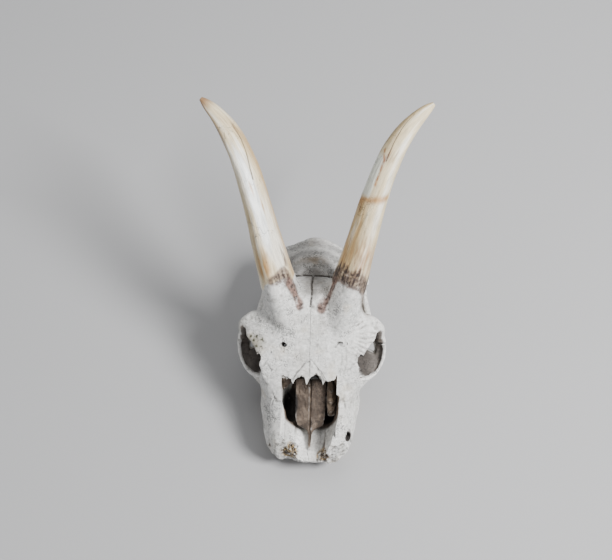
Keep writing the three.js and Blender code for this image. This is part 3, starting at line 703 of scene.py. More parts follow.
def small_openings():
    """Nerve and vessel holes, gaps beside the tear bones and the open joint behind each eye, as shells"""
    shells = [
        # the hole over each eye: an open oval on the right, a slanting slit on the left
        rod([(-19.8, 66, 87, 2.2, 1.6), (-18.6, 69, 78, 2.2, 1.6), (-17, 72, 70, 1.6, 1)],
            up=(0.6, 1, 0), steps=12),
        rod([(21.4, 68.4, 90, 2.1, 1), (21.6, 70.6, 81, 2.4, 1.1), (21.8, 73.4, 72, 2, 0.9)],
            up=(0, 1, 0), steps=14),
        ball((18.3, 68.5, 80.6), (0.8, 0.8, 1.8)),
        # the nerve hole on each side of the muzzle, ragged on the left
        rod([(36, 8, 42, 3, 3.2), (29, 17.5, 34, 3, 3.2), (24, 24, 29, 2, 2)], steps=14, around=20),
        ball((31.8, 15, 37.6), (3.4, 4.2, 2.4)), ball((29.8, 20.4, 36), (2.2, 2.8, 2.6)),
        rod([(-40, 22, 21, 2.4, 2.6), (-33, 24, 22, 2.2, 2.4), (-25, 27, 24, 2, 2)], steps=14, around=20)]
    for side in SIDES.values():
        wide = 1.9 if side < 0 else 2.4
        long = 3 if side < 0 else 4.2
        shells += [
            rod([(37.6, 61.4, 76, wide, long), (36.8, 61.8, 69, wide, long), (35, 64, 58, wide, long)], side,
                up=(0, 1, 0), steps=12, around=20),
            ball((53, 83.5, 57), (7, 8, 0.8), side, around=48),
            rod([(10, 88, 46, 2, 2), (24, 80, 49, 2.6, 2.4)], side, steps=10, around=16),
            rod([(10, 96, 41, 2.2, 2.2), (26, 88, 40, 3, 2.6)], side, steps=10, around=16),
            rod([(9, 157, 30, 1.6, 1.6), (18, 150, 24, 2, 2)], side, steps=8, around=14),
            rod([(9, 56, 8, 1.4, 1.8), (9, 60, 20, 1, 1)], side, up=(0, 1, 0), steps=8, around=12)]
    random = np.random.default_rng(12)
    for low, high, count in (((28, 52, 58), (38, 60, 70), 7), ((16, 60, 74), (34, 76, 82), 9),
                             ((-34, 52, 58), (-24, 60, 70), 5), ((-1, 88, 90), (1.4, 108, 99), 9),
                             ((-30, 60, 72), (-20, 76, 82), 5)):
        for _ in range(count):
            long = random.uniform(0.5, 1.3)
            shells.append(ball(random.uniform(low, high), (0.4, long, 3), 1, random.uniform(-0.4, 0.4), 12))
    return shells


# Open sutures and cracks as seen from above: path (x, y), width and depth
PLAN_JOINTS = [
    ([(-24, 121.6), (-9, 122.4), (0, 121.4), (10, 122.6), (24, 121)], 1.5, 1),
    ([(-0.4, 92), (0.5, 100), (-0.3, 110), (0.3, 121)], 1.2, 0.75),
    ([(0, 60), (-3.5, 58.4), (-6, 54.8), (-9, 52.6), (-11.4, 48)], 0.9, 0.35),
    ([(0, 60), (3, 59.2), (5.6, 55), (8.4, 52.6), (10.6, 48)], 0.9, 0.35),
    ([(0, 46), (0.2, 60)], 0.8, 0.3), ([(0, 60), (0.3, 76), (-0.3, 92)], 0.6, 0.02),
    ([(18.4, 68.4), (20.6, 70), (24.6, 69.6)], 0.8, 0.4), ([(26, 69), (26.6, 60), (25, 53)], 0.8, 0.15),
    ([(22.8, 67), (23.4, 60), (22, 54)], 0.8, 0.1), ([(29, 56), (33, 60), (34, 66)], 0.7, 0.2),
    ([(-27, 54), (-31, 58), (-33, 57)], 0.7, 0.25)]


def whole_skull(sizes):
    """The forms fused into one closed surface, with the hollows opened and the thin plates added."""
    coarse = sizes.grain * 1.25
    skull = finish_with(fused("skull", forms(sizes), coarse), "SMOOTH", factor=0.5, iterations=3)
    spaces = finish_with(fused("hollows", hollows(), coarse), "SMOOTH", factor=0.5, iterations=3)
    carve(skull, spaces)
    thin = []
    for side in SIDES.values():
        thin += [rod(THROAT_PLATE, side, square=2.6), rod(eye_lip(sizes.eye_half / MM), side, up=(1, 0, 0))]
    carve(skull, fused("plates", thin, sizes.grain), "UNION")
    finish_with(skull, "REMESH", mode="VOXEL", voxel_size=sizes.grain)
    return largest_part(skull)


def break_open(skull, sizes):
    """Breaks the nose's roof and the muzzle's end away, and cuts the small holes and the flat underside."""
    roof = break_face((-20, 20.6), (40, 92), lambda x, z: ROOF_EDGE(x), -30)
    muzzle_end = break_face((-42, 42), (-4, 90), lambda x, z: MUZZLE_EDGE(x) + 0.2 * max(0, z - 20), -40)
    for name, block in (("roof", roof), ("muzzle", muzzle_end)):
        carve(skull, mesh_object(name, [block]))
    carve(skull, fused("holes", small_openings(), sizes.grain * 0.6))
    spongy = [*pits(5, 240, (-18, 4, 16), (-8, 15, 30), (0.5, 1.3)),
              *pits(6, 120, (6, 1, 15), (17, 12, 29), (0.5, 1.2))]
    carve(skull, fused("spongy", spongy, 0.0003))
    floor = [(-90, -40), (90, -40), (90, 220), (-90, 220)]
    carve(skull, mesh_object("floor", [prism(floor, -30, 0, 2)]))


def blended_feet(p, edges, sizes):
    """The points, with the feet of the horn cores flowing into the forehead."""
    foot = np.zeros(len(p))
    high = np.flatnonzero(p[:, 2] > 66)
    for side in SIDES.values():
        share, _, apart = horn_measure(p[high], side, sizes)
        blend = (1 - ramp(share, -0.02, 0.08)) * (1 - ramp(apart, 26, 44)) * ramp(p[high, 2], 68, 76)
        foot[high] = np.maximum(foot[high], blend)
    foot = foot * ramp(p[:, 1], 58, 66)
    nearby = edges[foot[edges].max(axis=1) > 0]
    used, nearby = np.unique(nearby, return_inverse=True)
    nearby = nearby.reshape(-1, 2)
    pull = 0.8 * foot[used, None]
    for _ in range(80):
        p[used] += pull * (spread(p[used], nearby) - p[used])
    return p


def sculpt(target, sizes):
    """Ridges, hollows, grooves and weathering pressed into the fused bone."""
    edges = edges_of(target)
    p = blended_feet(points_of(target), edges, sizes)
    for _ in range(4):
        p = p + 0.5 * (spread(p, edges) - p)
    set_points(target, p)
    n = normals_of(target)
    x, y, z = p.T
    left = ramp(x, -1, 1)
    mirrored = np.column_stack([np.abs(x), y, z])
    up = ramp(n[:, 2], 0.1, 0.6)
    push = np.zeros(len(p))
    # the grooves that run down from the hole over each eye, deeper on the left
    for path, depth in (
            ([(22, 70, 81), (23, 62, 76), (22.6, 54, 70), (21, 48, 65)], 0.9),
            ([(26.5, 68, 80), (27, 60, 74), (26, 54, 70)], 0.6), ([(21, 69, 80), (27, 73, 81)], 0.6)):
        push -= depth * along(mirrored, path, 2.4) * up * (0.35 + 0.65 * left)
    # rays on the roof over each eye
    ray = np.arctan2(y - 74, mirrored[:, 0] - 20)
    roof = ramp(mirrored[:, 0], 30, 38) * ramp(y, 54, 62) * (1 - ramp(y, 86, 92)) * up * ramp(z, 62, 66)
    push += roof * (0.16 + 0.34 * left) * np.sin(ray * 40 + drift(p, 9, 2)[:, 0] * 4)
    # a dip in the middle of the forehead and between the horn cores
    push -= 1.0 * near(p, (0, 66, 75), (14, 18, 14)) * up
    push -= 1.2 * along(p, [(-16, 124, 87), (0, 123, 87.5), (16, 124, 87)], 5) * up
    push -= 0.8 * along(p, [(0, 92, 96), (0, 112, 95)], 6) * up
    push += 0.7 * along(mirrored, [(5, 100, 96), (7, 92, 93), (10, 84, 89)], 4) * up
    # open stretches of suture: across behind the horn cores, along the middle, beside the nose
    for path, width, depth in PLAN_JOINTS:
        push -= depth * along(p[:, :2], path, width) * up * ramp(rough(p, 4, 13), -0.9, 0.1)
    push -= 0.6 * along(mirrored, [(31, 50.5, 62), (25, 38, 54.4), (27, 33.8, 49.6)], 0.9)
    # the cheek side: a hollow in front of the eye and the roots of the teeth
    push -= 1.5 * near(mirrored, (36, 38, 45), (14, 14, 13))
    root = np.cos((y - 4) / 4.4 * np.pi) * (z > 10) * (1 - ramp(z, 17, 25)) * ramp(mirrored[:, 0], 24, 28)
    push += 0.35 * root * ramp(y, 8, 14) * (1 - ramp(y, 66, 74))
    push += 1.1 * near(mirrored, (35.5, 44, 30), (10, 12, 7))
    # the lines where the jaw and neck muscles held
    push += 0.9 * along(mirrored, [(33, 98, 82), (27, 118, 80), (22, 136, 76), (20, 152, 69)], 2.6)
    push += 0.8 * near(p, (0, 166, 56), (4, 12, 12)) + 0.6 * along(p, [(0, 162, 68), (0, 170, 50)], 2.5)
    crest = along(mirrored, [(0, 160, 72), (12, 158.5, 68), (21, 156, 61), (29, 153, 52)], 5)
    push += crest * (0.5 * rough(p, 3.4, 15) + 0.25 * rough(p, 1.4, 16))
    # weathering at three sizes, and scabs of flaking crust on the brow
    push += 0.36 * rough(p, 11, 1) + 0.2 * rough(p, 3.2, 4) + 0.12 * rough(p, 1.4, 9, 2)
    push -= 0.5 * ramp(rough(p, 2.6, 17), 0.25, 0.6) * ramp(rough(p, 15, 18), -0.1, 0.5) * up
    set_points(target, p + n * push[:, None])


def part_bones(skull, sizes):
    """Parts the skull at its sutures and gives back the bones by name."""
    gap = sizes.suture / MM
    set_points(skull, points_of(skull) + ripple(points_of(skull)))
    regions = {}
    for word, side in SIDES.items():
        regions[f"nasal_{word}"] = [(np.array(Parting.nasal) * (side, 1), 54, 90, 2)]
    for bone, outlines in Parting.paired.items():
        for word, side in SIDES.items():
            regions[f"{bone}_{word}"] = [(o, *sorted((a * side, b * side)), 0) for o, a, b in outlines]
    for bone, outlines in Parting.single.items():
        regions[bone] = [(o, a, b, 0) for o, a, b in outlines]

    def blocks(name, parts, clear):
        made = None
        for outline, low, high, axis in parts:
            flat = widened(outline, clear) if clear else outline
            block = mesh_object(name, [prism(flat, low - clear, high + clear, axis)])
            made = carve(made, block, "UNION") if made else block
        return made

    bones, taken = {}, None
    for name, parts in regions.items():
        region = blocks(f"{name}_bone", parts, 0)
        if taken:
            carve(region, taken, keep=True)
        bones[name] = largest_part(carve(region, skull, "INTERSECT", keep=True))
        clear = blocks("taken", parts, gap)
        taken = carve(taken, clear, "UNION") if taken else clear
    for spent in (taken, skull):
        bpy.data.objects.remove(spent)
    for bone in bones.values():
        set_points(bone, unrippled(points_of(bone)))
    return bones


# Colour by place


class Coat:
    """Colour laid over a mesh point by point, one layer after another: stains, painted shade and painted
    light
    """

    def __init__(self, target, base):
        self.points = points_of(target)
        self.normals = normals_of(target)
        self.edges = edges_of(target)
        self.colour = np.tile(np.asarray(base), (len(self.points), 1))
        self.porous = np.full(len(self.points), 0.4)
        self.polish = np.zeros(len(self.points))

    def lay(self, tone, strength, where=slice(None)):
        """Lays a hex colour over the points, or over those named by where."""
        strength = np.clip(strength, 0, 1)[:, None]
        tone = np.asarray(linear(tone) if isinstance(tone, str) else tone)
        self.colour[where] = self.colour[where] * (1 - strength) + tone * strength

    def dust_shade_and_edge_highlight(self, tone, shine):
        """Darkens hollows with painted shade and dust, and lightens edges with a painted highlight."""
        bend = np.sum((spread(self.points, self.edges, 2) - self.points) * self.normals, axis=1)
        hollow = spread(bend, self.edges, 2)
        self.lay(tone, ramp(hollow, 0.02, 0.16))
        self.lay(shine, 0.4 * ramp(-hollow, 0.04, 0.2))

    def write(self, target):
        """Stores the colour as Tint, and pores and polish as Surface, on the mesh."""
        whole = np.ones(len(self.points))
        surface = np.column_stack([np.clip(self.porous, 0.03, 1), np.clip(self.polish, 0, 1), whole, whole])
        for name, values in (("Tint", np.column_stack([self.colour, whole])), ("Surface", surface)):
            layer = target.data.color_attributes.new(name, "FLOAT_COLOR", "POINT")
            layer.data.foreach_set("color", values.astype(np.float32).ravel())


# Clouds over all bone: colour, strength, size in millimetres, seed, layers, and the noise where they show
CLOUDS = [
    ("#b3aea6", 0.6, 16, 21, 3, 0.0, 0.8), ("#c9bca4", 0.45, 10, 24, 3, 0.15, 0.8),
    ("#87837c", 0.65, 3.2, 27, 3, 0.2, 0.8), ("#8d8983", 0.7, 1.3, 28, 2, 0.3, 0.8),
    ("#f1efec", 0.6, 5, 30, 3, 0.1, 0.6)]
# Dark lines round the tear bones and beside the nerve grooves: path, width and strength
DARK_LINES = [
    ([(31, 50.5, 62), (25, 38, 54.4), (27, 33.8, 49.6)], 1.4, 0.95),
    ([(26, 39, 55), (21, 36, 55)], 1.1, 0.7),
    ([(-31, 50.5, 62), (-25, 38, 54.4), (-21, 35, 54.6)], 1.3, 0.9),
    ([(-24, 35.5, 54), (-19, 34.5, 55)], 1.2, 0.9),
    ([(22, 70, 81), (23, 62, 76), (22.6, 54, 70)], 1.4, 0.6),
    ([(26.5, 68, 80), (27, 60, 74)], 1.2, 0.5)]
# Painted shade inside the small holes: path, reach, and whether only steep faces count
HOLE_SHADE = [
    ([(-18.6, 69, 79), (-17, 72, 70)], 4, True), ([(21.6, 69.6, 81), (21.6, 70, 77)], 3, True),
    ([(18.3, 68.5, 80.6), (18.3, 68.5, 79)], 1.6, True), ([(28.4, 18.6, 33), (24, 24, 29)], 5, False),
    ([(-31.5, 24.6, 22.4), (-25, 27, 24)], 3.4, False), ([(-37, 61.6, 70), (-34, 66, 54)], 6, True),
    ([(37, 61.6, 70), (33, 67, 52)], 7.4, True)]
# Path of a brown painted shadow down the outer flank of the left horn core's foot
ARCH_SHADE = [(36, 97, 102), (38.5, 95, 91), (41, 95, 84), (40, 104, 70)]


def stain_and_shade_roof(coat):
    """Painted shade on the crown and by the horn cores, partly stain between them, a brown patch, a brown
    painted shadow on the left, and greenish pores over the right eye
    """
    p = coat.points
    x, y, z = p.T
    # painted shade: the crown grey, in arcs round its back
    crown = ramp(y, 118, 126) * ramp(z, 56, 70)
    coat.lay("#7d7b79", crown * (0.5 + 0.2 * np.sin(np.hypot(x, y - 124) * 0.6)))
    coat.lay("#8b7a66", 0.75 * near(p, (0, 138, 82), (15, 9, 8)) * ramp(rough(p, 5, 29), -0.6, 0.3))
    # painted shade: darker grey beside each horn core, most on the right
    coat.lay("#4b4845", 0.9 * near(p, (-21, 132, 78), (18, 24, 18)))
    coat.lay("#5e5b57", 0.6 * near(p, (20, 122, 84), (13, 12, 12)))
    # grey down the middle between the horn cores: painted shadow and stain together
    coat.lay("#57534f", 0.8 * along(p[:, :2], [(0, 102), (0, 121)], 17) * ramp(y, 93, 103) * (z > 70))
    # brown painted shadow on the outer flank of the left horn core's foot
    coat.lay("#5c4935", 0.9 * along(p, ARCH_SHADE, 6))
    patch = near(p, (-40, 71, 76), (12, 12, 9))
    coat.lay("#80765a", 0.75 * patch)
    coat.lay("#3f4029", 0.95 * ramp(patch, 0.15, 0.5) * ramp(rough(p, 2.2, 31), 0.15, 0.45))
    coat.porous += 0.6 * patch


def dark_joints_and_hole_shade(coat):
    """Dark lines in the open joints, and painted shade inside the small holes"""
    p, n = coat.points, coat.normals
    fine = rough(p, 1.6, 32) + 0.5 * rough(p, 6, 34)
    over = ramp(n[:, 2], 0.0, 0.4) * (p[:, 2] > 56)
    for path, width, depth in PLAN_JOINTS:
        line = along(p[:, :2], path, width * 1.35) * over * ramp(fine, -0.8, 0.3)
        coat.lay("#38332e", min(1, depth + 0.2) * ramp(line, 0.1, 0.8))
    for path, width, strength in DARK_LINES:
        coat.lay("#45403a", strength * along(p, path, width) * ramp(rough(p, 1.8, 32), -0.8, 0.2))
    # painted shade inside the small holes, on their steep walls only or all through
    steep = np.maximum(1 - ramp(n[:, 2], 0.5, 0.72), p[:, 2] < 64)
    for path, reach, steep_only in HOLE_SHADE:
        coat.lay("#2a221d", 0.95 * ramp(along(p, path, reach), 0.0, 0.3) * (steep if steep_only else 1))


def shade_and_stain_hollows(coat, eye_half):
    """Painted shade, partly brown stain, inside the nose, in the eyes, under the arches and in the brain
    case, a browner tone on faces that point down, and a painted highlight on each eye's lip
    """
    p, n = coat.points, coat.normals
    x, y, z = p.T
    mirrored = np.column_stack([np.abs(x), y, z])
    out = mirrored[:, 0]
    buried = ramp(profile(y) - z, 2.4, 5) * (np.abs(x - NOSE_SHIFT) < NOSE_HALF(y) + 1.3)
    nose = buried * ramp(y, 27, 30) * (1 - ramp(y, 76, 84)) * ramp(z, 16, 20)
    nose = np.maximum(nose, (np.abs(x - 0.8) < 11.5) * (y > 11) * (y < 40) * ramp(z, 22.4, 24))
    right_hole = near(p, (-13.3, 46, 28), (9.5, 17.5, 20))
    left_hole = near(p, (13.3, 46, 24), (9.5, 17.5, 12))
    # inside the nose: brown, partly stain and partly painted shade, darker with depth
    coat.lay("#6f6053", nose)
    coat.lay("#463a30", nose * ramp(profile(y) - z, 3, 16) * ramp(rough(p, 4, 45), -0.8, 0.3))
    # painted shade with some brown stain: near black in the deep pits beside the nose bones
    coat.lay("#171210", 0.95 * ramp(right_hole, 0.02, 0.16) * ramp(y, 28, 30))
    coat.lay("#1d1714", 0.9 * ramp(left_hole, 0.02, 0.2) * ramp(y, 29, 32))
    # less painted shade: a lighter brown on the nose's left wall, where light reaches it
    coat.lay("#857360", 0.7 * nose * ramp(x, 11.5, 13) * ramp(z, 36, 42) * (y > 30))
    # painted shade inside the brain case, seen through the neck hole
    coat.lay("#4d4037", 0.95 * ramp(near(p, (0, 158, 47), (14, 20, 14)), 0.0, 0.3) * (out < 15))
    # each eye socket widens outwards along a slanting axis
    axis = np.hypot((out - 46.5) * 0.38 + (y - 69) * 0.92, z - 54.5)
    socket = 1 - ramp(axis - track((20, 8), (27, 11.2), (40, 14.8), (52, 16.6), (66, 19))(out), 0.5, 1.6)
    socket *= (out > 14) * (z < 74) * (y > 50)
    # painted shade in each eye socket, darker further in
    coat.lay("#6e6761", 0.96 * socket)
    coat.lay("#3b342f", 0.85 * socket * (1 - ramp(out + 3 * rough(p, 5, 46), 38, 50)))
    # painted shade on the inner faces of the bars behind the eyes
    inward = (out > 43) * (y > 74) * ramp(z, 47, 52) * (1 - ramp(z, 74, 77))
    coat.lay("#4e443b", 0.9 * inward * ramp(-n[:, 0] * np.sign(x) - n[:, 1], 0.1, 0.6))
    # painted shade deep in the back of each eye socket
    coat.lay("#2c2520", 0.85 * near(mirrored, (22, 80, 52), (14, 14, 13)))
    # brown painted shade on the brain case's sides under the arches
    coat.lay("#6a5743", 0.8 * near(mirrored, (33, 106, 56), (12, 28, 28)) * (out < 38))
    # a browner tone on the faces that point down
    coat.lay("#a08f7a", 0.6 * ramp(-n[:, 2], 0.2, 0.9) * ramp(rough(p, 7, 47), -0.5, 0.5))
    # a painted highlight: the lip round each socket near white, over the painted shade
    lip = along(mirrored, [station[:3] for station in eye_lip(eye_half)], 2.6)
    coat.lay("#efede9", 0.95 * ramp(lip, 0.12, 0.4))


def stain_shade_and_light_front(coat):
    """Broken spongy bone in front, brown with dark specks of painted shade, and the nose floor behind it,
    painted white where lit and grey in shade
    """
    p = coat.points
    spongy = np.maximum(near(p, (-13.5, 9, 25), (10, 10, 10)), 0.9 * near(p, (11, 7, 24), (8, 8, 8)))
    coat.lay("#a0875c", ramp(spongy, 0.05, 0.4) * ramp(rough(p, 2.0, 51), -0.5, 0.2))
    # dark specks of painted shade for the holes in the spongy bone
    coat.lay("#38291d", 0.95 * ramp(spongy, 0.05, 0.4) * ramp(rough(p, 1.5, 52), -0.2, 0.2))
    # painted shade: the left half of the nose floor grey
    coat.lay("#a3a19e", 0.7 * near(p, (9, 20, 21), (9, 14, 9)))
    # painted light: the right half of the nose floor near white
    coat.lay("#f3f3f0", 0.8 * near(p, (-9, 19, 23), (9, 13, 10)) * (1 - ramp(spongy, 0, 0.3)))
    coat.polish += 0.8 * near(p, (-8, 20, 23), (12, 16, 12))
    coat.porous += 0.9 * spongy + 0.6 * ramp(rough(p, 14, 61), -0.2, 0.5)


class HornPlaces:
    """Where each point near a horn core lies on it, and the noise that its stains follow"""

    def __init__(self, points, side, sizes):
        self.points = points
        self.share, self.turn, apart = horn_measure(points, side, sizes)
        self.on_horn = (1 - ramp(apart, 24, 30)) * (np.sign(points[:, 0]) == side)
        self.flat = laid_flat(self.share, self.turn)
        self.grain = np.column_stack([self.share * 18, self.turn * 0.2, np.zeros(len(points))])
        self.streak = rough(self.grain, 1.6, 33 + side)
        self.cloud = rough(self.grain * (1, 0.8, 1), 4, 36 + side)
        self.foot = 0.118 - 0.05 * ramp(np.abs(self.turn + 18), 22, 60) + 0.014 * self.streak
        self.horned = ramp(self.share, self.foot, self.foot + 0.012) * self.on_horn


# Cracks along the horn cores, laid flat: paths and depths
CRACKS = {
    -1: [([(141, -18), (131.7, -16.8), (119, -13), (107.4, -9), (99, -7.6)], 0.7),
         ([(99, -7.6), (82, -6)], 0.25), ([(60, 9), (40, 11)], 0.4), ([(112, 22), (84, 25)], 0.4)],
    1: [([(152, -19.5), (143, -16.5), (135.6, -13.4), (125, -10), (116, -7.8)], 0.8),
        ([(70, 14), (44, 17)], 0.4), ([(62, -26), (38, -24)], 0.5), ([(110, 24), (88, 21)], 0.4)]}
# Paths of dried tissue from each horn core down the forehead
SMEARS = {
    -1: [(-15.5, 101, 113), (-13, 98.5, 107), (-10.4, 96, 102), (-8.6, 93, 97.4), (-8.6, 91.5, 95)],
    1: [(16.6, 103.6, 112), (13.6, 100, 105.5), (10.6, 95.6, 99.6), (8, 92, 95.3), (7.8, 90, 94)]}


def right_horn_stains(at):
    """Layers of colour and strength on the right horn core, with a painted highlight down its glossy front,
    its polish, and its dark fringe
    """
    streak, flat = at.streak, at.flat
    # painted highlight: a near-white band down the glossy front of the core, which is glossier there too
    white = near(flat, (86, -4.2), (56, 5)) * at.horned
    layers = [
        ("#f4f6f2", 0.95 * ramp(white, 0.0, 0.35)),
        ("#a98248", 0.6 * at.horned * ramp(-at.turn, 66, 104) * (1 - ramp(at.share, 0.78, 0.9))),
        ("#96703c", 0.8 * at.horned * ramp(at.share, 0.74, 0.86) * ramp(at.turn, -30, 20)),
        ("#6f431f", 0.8 * at.horned * near(flat, (142, -16), (22, 9)) * ramp(streak, -0.1, 0.4)),
        ("#85572a", 0.8 * at.horned * ramp(at.share, 0.93, 0.985)),
        ("#b8842f", 0.8 * near(flat, (93, -4), (9, 1.2)) + 0.8 * near(flat, (78, -8), (9, 1.2))),
        ("#a5701f", 0.8 * at.horned * near(flat, (32, 2), (20, 9)) * ramp(streak, -0.4, 0.4)),
        ("#54321c", 0.95 * at.horned * near(flat, (33, -12), (17, 9)) * ramp(streak, -0.25, 0.25))]
    fringe = 1.4 * along(flat, [(21.5, -3), (24.5, -8), (18, -10.5), (12.5, -11.5), (4, -13)], 6)
    return layers, 0.9 * white, fringe


def left_horn_stains(at, ochre_tone):
    """Layers of colour and strength on the left horn core, its polish, and its dark fringe"""
    streak, cloud, flat, back = at.streak, at.cloud, at.flat, -at.turn
    ochre = at.horned * ramp(back, -30, 60) * ramp(at.share, 0.13, 0.2) * (1 - ramp(at.share, 0.485, 0.51))
    cross = along(flat, [(81.5, -21), (84, -14), (85.5, -6), (88, 0), (90.6, 6)], 5)
    smooth = ramp(at.share, 0.515, 0.54) * (1 - ramp(at.share, 0.70, 0.74))
    smooth *= ramp(back, 34, 46) * (1 - ramp(back, 128, 140))
    edge = along(flat, [(123, -17), (116, -9.5), (103, -7.4), (90, -6.6)], 2)
    layers = [
        ("#cdb077", 0.8 * ochre * ramp(cloud, -1.0, 0.4)),
        (ochre_tone, 0.8 * ochre * ramp(cloud + 0.008 * (back - 50), -0.2, 0.9)),
        ("#e9dfc4", 0.7 * ochre * ramp(rough(at.grain, 2.4, 41), 0.15, 0.6)),
        ("#85551f", 0.8 * ochre * ramp(streak, 0.05, 0.5)),
        ("#a96d26", 0.75 * at.horned * near(flat, (38, 0), (28, 22)) * ramp(streak, -0.4, 0.3)),
        ("#8f7466", 0.7 * at.horned * near(flat, (36, 4), (22, 12)) * ramp(cloud, -0.4, 0.5)),
        ("#b07c3a", 0.85 * cross * ramp(rough(at.points, 4, 38), -1.4, 0.2) * at.on_horn),
        ("#e9ecdf", 0.95 * smooth * at.horned),
        ("#b9bda2", 0.8 * smooth * ramp(-cloud, 0.0, 0.5) * at.horned),
        ("#a4601a", 0.85 * edge * ramp(rough(at.points, 3, 39), -0.6, 0.2) * at.on_horn),
        ("#85542c", 0.95 * near(flat, (118, -8), (12, 5)) * ramp(streak, -0.5, 0.3)),
        ("#a68850", 0.6 * at.horned * ramp(back, 70, 110) * ramp(at.share, 0.74, 0.8))]
    top = at.foot + 0.035 + 0.05 * ramp(streak, -0.3, 0.7)
    fringe = 1.15 * ramp(at.share, at.foot - 0.022, at.foot + 0.004) * (1 - ramp(at.share, top, top + 0.05))
    return layers, 0.9 * smooth, fringe


def stain_horns(coat, sizes, colours):
    """Ivory over each horn core, warm stains, a painted highlight on the right one, and a ragged dark fringe
    where it meets the skull
    """
    index = np.flatnonzero(coat.points[:, 2] > 84)
    if not len(index):
        return
    q = coat.points[index]
    for side in SIDES.values():
        at = HornPlaces(q, side, sizes)
        if side < 0:
            stains, polish, fringe = right_horn_stains(at)
        else:
            stains, polish, fringe = left_horn_stains(at, colours.ochre)
        ragged = ramp(at.streak + 0.5 * rough(q, 1.2, 42), -0.5, 0.4)
        smear = ramp(along(q, SMEARS[side], 6.6), 0.25, 0.75)
        layers = [
            (colours.ivory, at.horned), ("#cbb588", 0.6 * at.horned * ramp(at.cloud, -0.1, 0.6)),
            ("#f6f3e8", 0.7 * at.horned * ramp(-at.cloud, 0.0, 0.6)),
            ("#a8803f", 0.5 * at.horned * ramp(at.streak, 0.25, 0.7)), *stains]
        for crack, depth in CRACKS[side]:
            layers.append(("#35261a", 1.3 * depth * along(at.flat, crack, 0.9) * at.horned))
        layers += [
            ("#7d6658", 0.8 * ramp(fringe, 0.05, 0.6) * at.on_horn * ramp(rough(q, 3, 44), -1.1, 0.1)),
            (colours.umber, 0.95 * fringe * ragged * at.on_horn),
            ("#84665a", 0.9 * smear * ramp(rough(q, 3, 43), -1.0, 0.0)),
            (colours.umber, 0.9 * smear * ramp(rough(q, 1.5, 48), -0.2, 0.4))]
        for tone, strength in layers:
            coat.lay(tone, strength, index)
        coat.polish[index] += polish + 0.35 * at.horned
        coat.porous[index] *= 1 - 0.8 * at.horned


def paint(target):
    """Writes each point's colour, pores and polish into the mesh."""
    scene = bpy.context.scene
    coat = Coat(target, scene.skull_colours.bone)
    for tone, strength, size, seed, layers, low, high in CLOUDS:
        coat.lay(tone, strength * ramp(rough(coat.points, size, seed, layers), low, high))
    stain_and_shade_roof(coat)
    dark_joints_and_hole_shade(coat)
    shade_and_stain_hollows(coat, scene.skull_sizes.eye_half / MM)
    stain_shade_and_light_front(coat)
    stain_horns(coat, scene.skull_sizes, scene.skull_colours)
    # painted shade with dust in the hollows, and a painted highlight along the edges
    coat.dust_shade_and_edge_highlight("#57493b", "#f8f7f4")
    coat.write(target)


# Materials


def add_node(tree, kind, links=(), **settings):
    """Adds one node, sets its values by socket or property name, and links its inputs."""
    node = tree.nodes.new(kind)
    for name, value in settings.items():
        if hasattr(node, name):
            setattr(node, name, value)
        else:
            node.inputs[name.replace("_", " ")].default_value = value
    for socket, source in dict(links).items():
        tree.links.new(source, node.inputs[socket])
    return node


def pores(tree, place, amount):
    """Pores about 1 mm apart, drawn coarser than the real ones so that they show"""
    pore = add_node(tree, "ShaderNodeTexVoronoi", {"Vector": place},
                    Scale=900.0, feature="F1", Randomness=1.0)
    patchy = add_node(tree, "ShaderNodeTexNoise", {"Vector": place}, Scale=130.0, Detail=3.0)
    patchy = add_node(tree, "ShaderNodeMapRange", {"Value": patchy.outputs["Fac"]},
                      From_Min=0.38, From_Max=0.62, To_Min=0.12, To_Max=0.72)
    size = add_node(tree, "ShaderNodeMath", {0: amount, 1: patchy.outputs[0]}, operation="MULTIPLY")
    inside = add_node(tree, "ShaderNodeMath", {0: pore.outputs["Distance"], 1: size.outputs[0]},
                      operation="DIVIDE")
    return add_node(tree, "ShaderNodeMapRange", {"Value": inside.outputs[0]},
                    From_Min=0.45, From_Max=1.0, To_Min=0.36, To_Max=1.0).outputs[0]


def hairlines(tree, place):
    """Hairline cracks in patches, about 12 mm apart"""
    wander = add_node(tree, "ShaderNodeTexNoise", {"Vector": place}, Scale=170.0, Detail=4.0)
    bent = add_node(tree, "ShaderNodeVectorMath", {0: wander.outputs["Color"], 2: place},
                    operation="MULTIPLY_ADD")
    bent.inputs[1].default_value = (0.012, 0.012, 0.012)
    crack = add_node(tree, "ShaderNodeTexVoronoi", {"Vector": bent.outputs[0]},
                     Scale=85.0, feature="DISTANCE_TO_EDGE")
    where = add_node(tree, "ShaderNodeTexNoise", {"Vector": place}, Scale=45.0, Detail=2.0)
    width = add_node(tree, "ShaderNodeMapRange", {"Value": where.outputs["Fac"]},
                     From_Min=0.5, From_Max=0.68, To_Min=0.0001, To_Max=0.022)
    line = add_node(tree, "ShaderNodeMath", {0: crack.outputs["Distance"], 1: width.outputs[0]},
                    operation="DIVIDE")
    return add_node(tree, "ShaderNodeMapRange", {"Value": line.outputs[0]},
                    From_Min=0.4, From_Max=1.0, To_Min=0.5, To_Max=1.0).outputs[0]


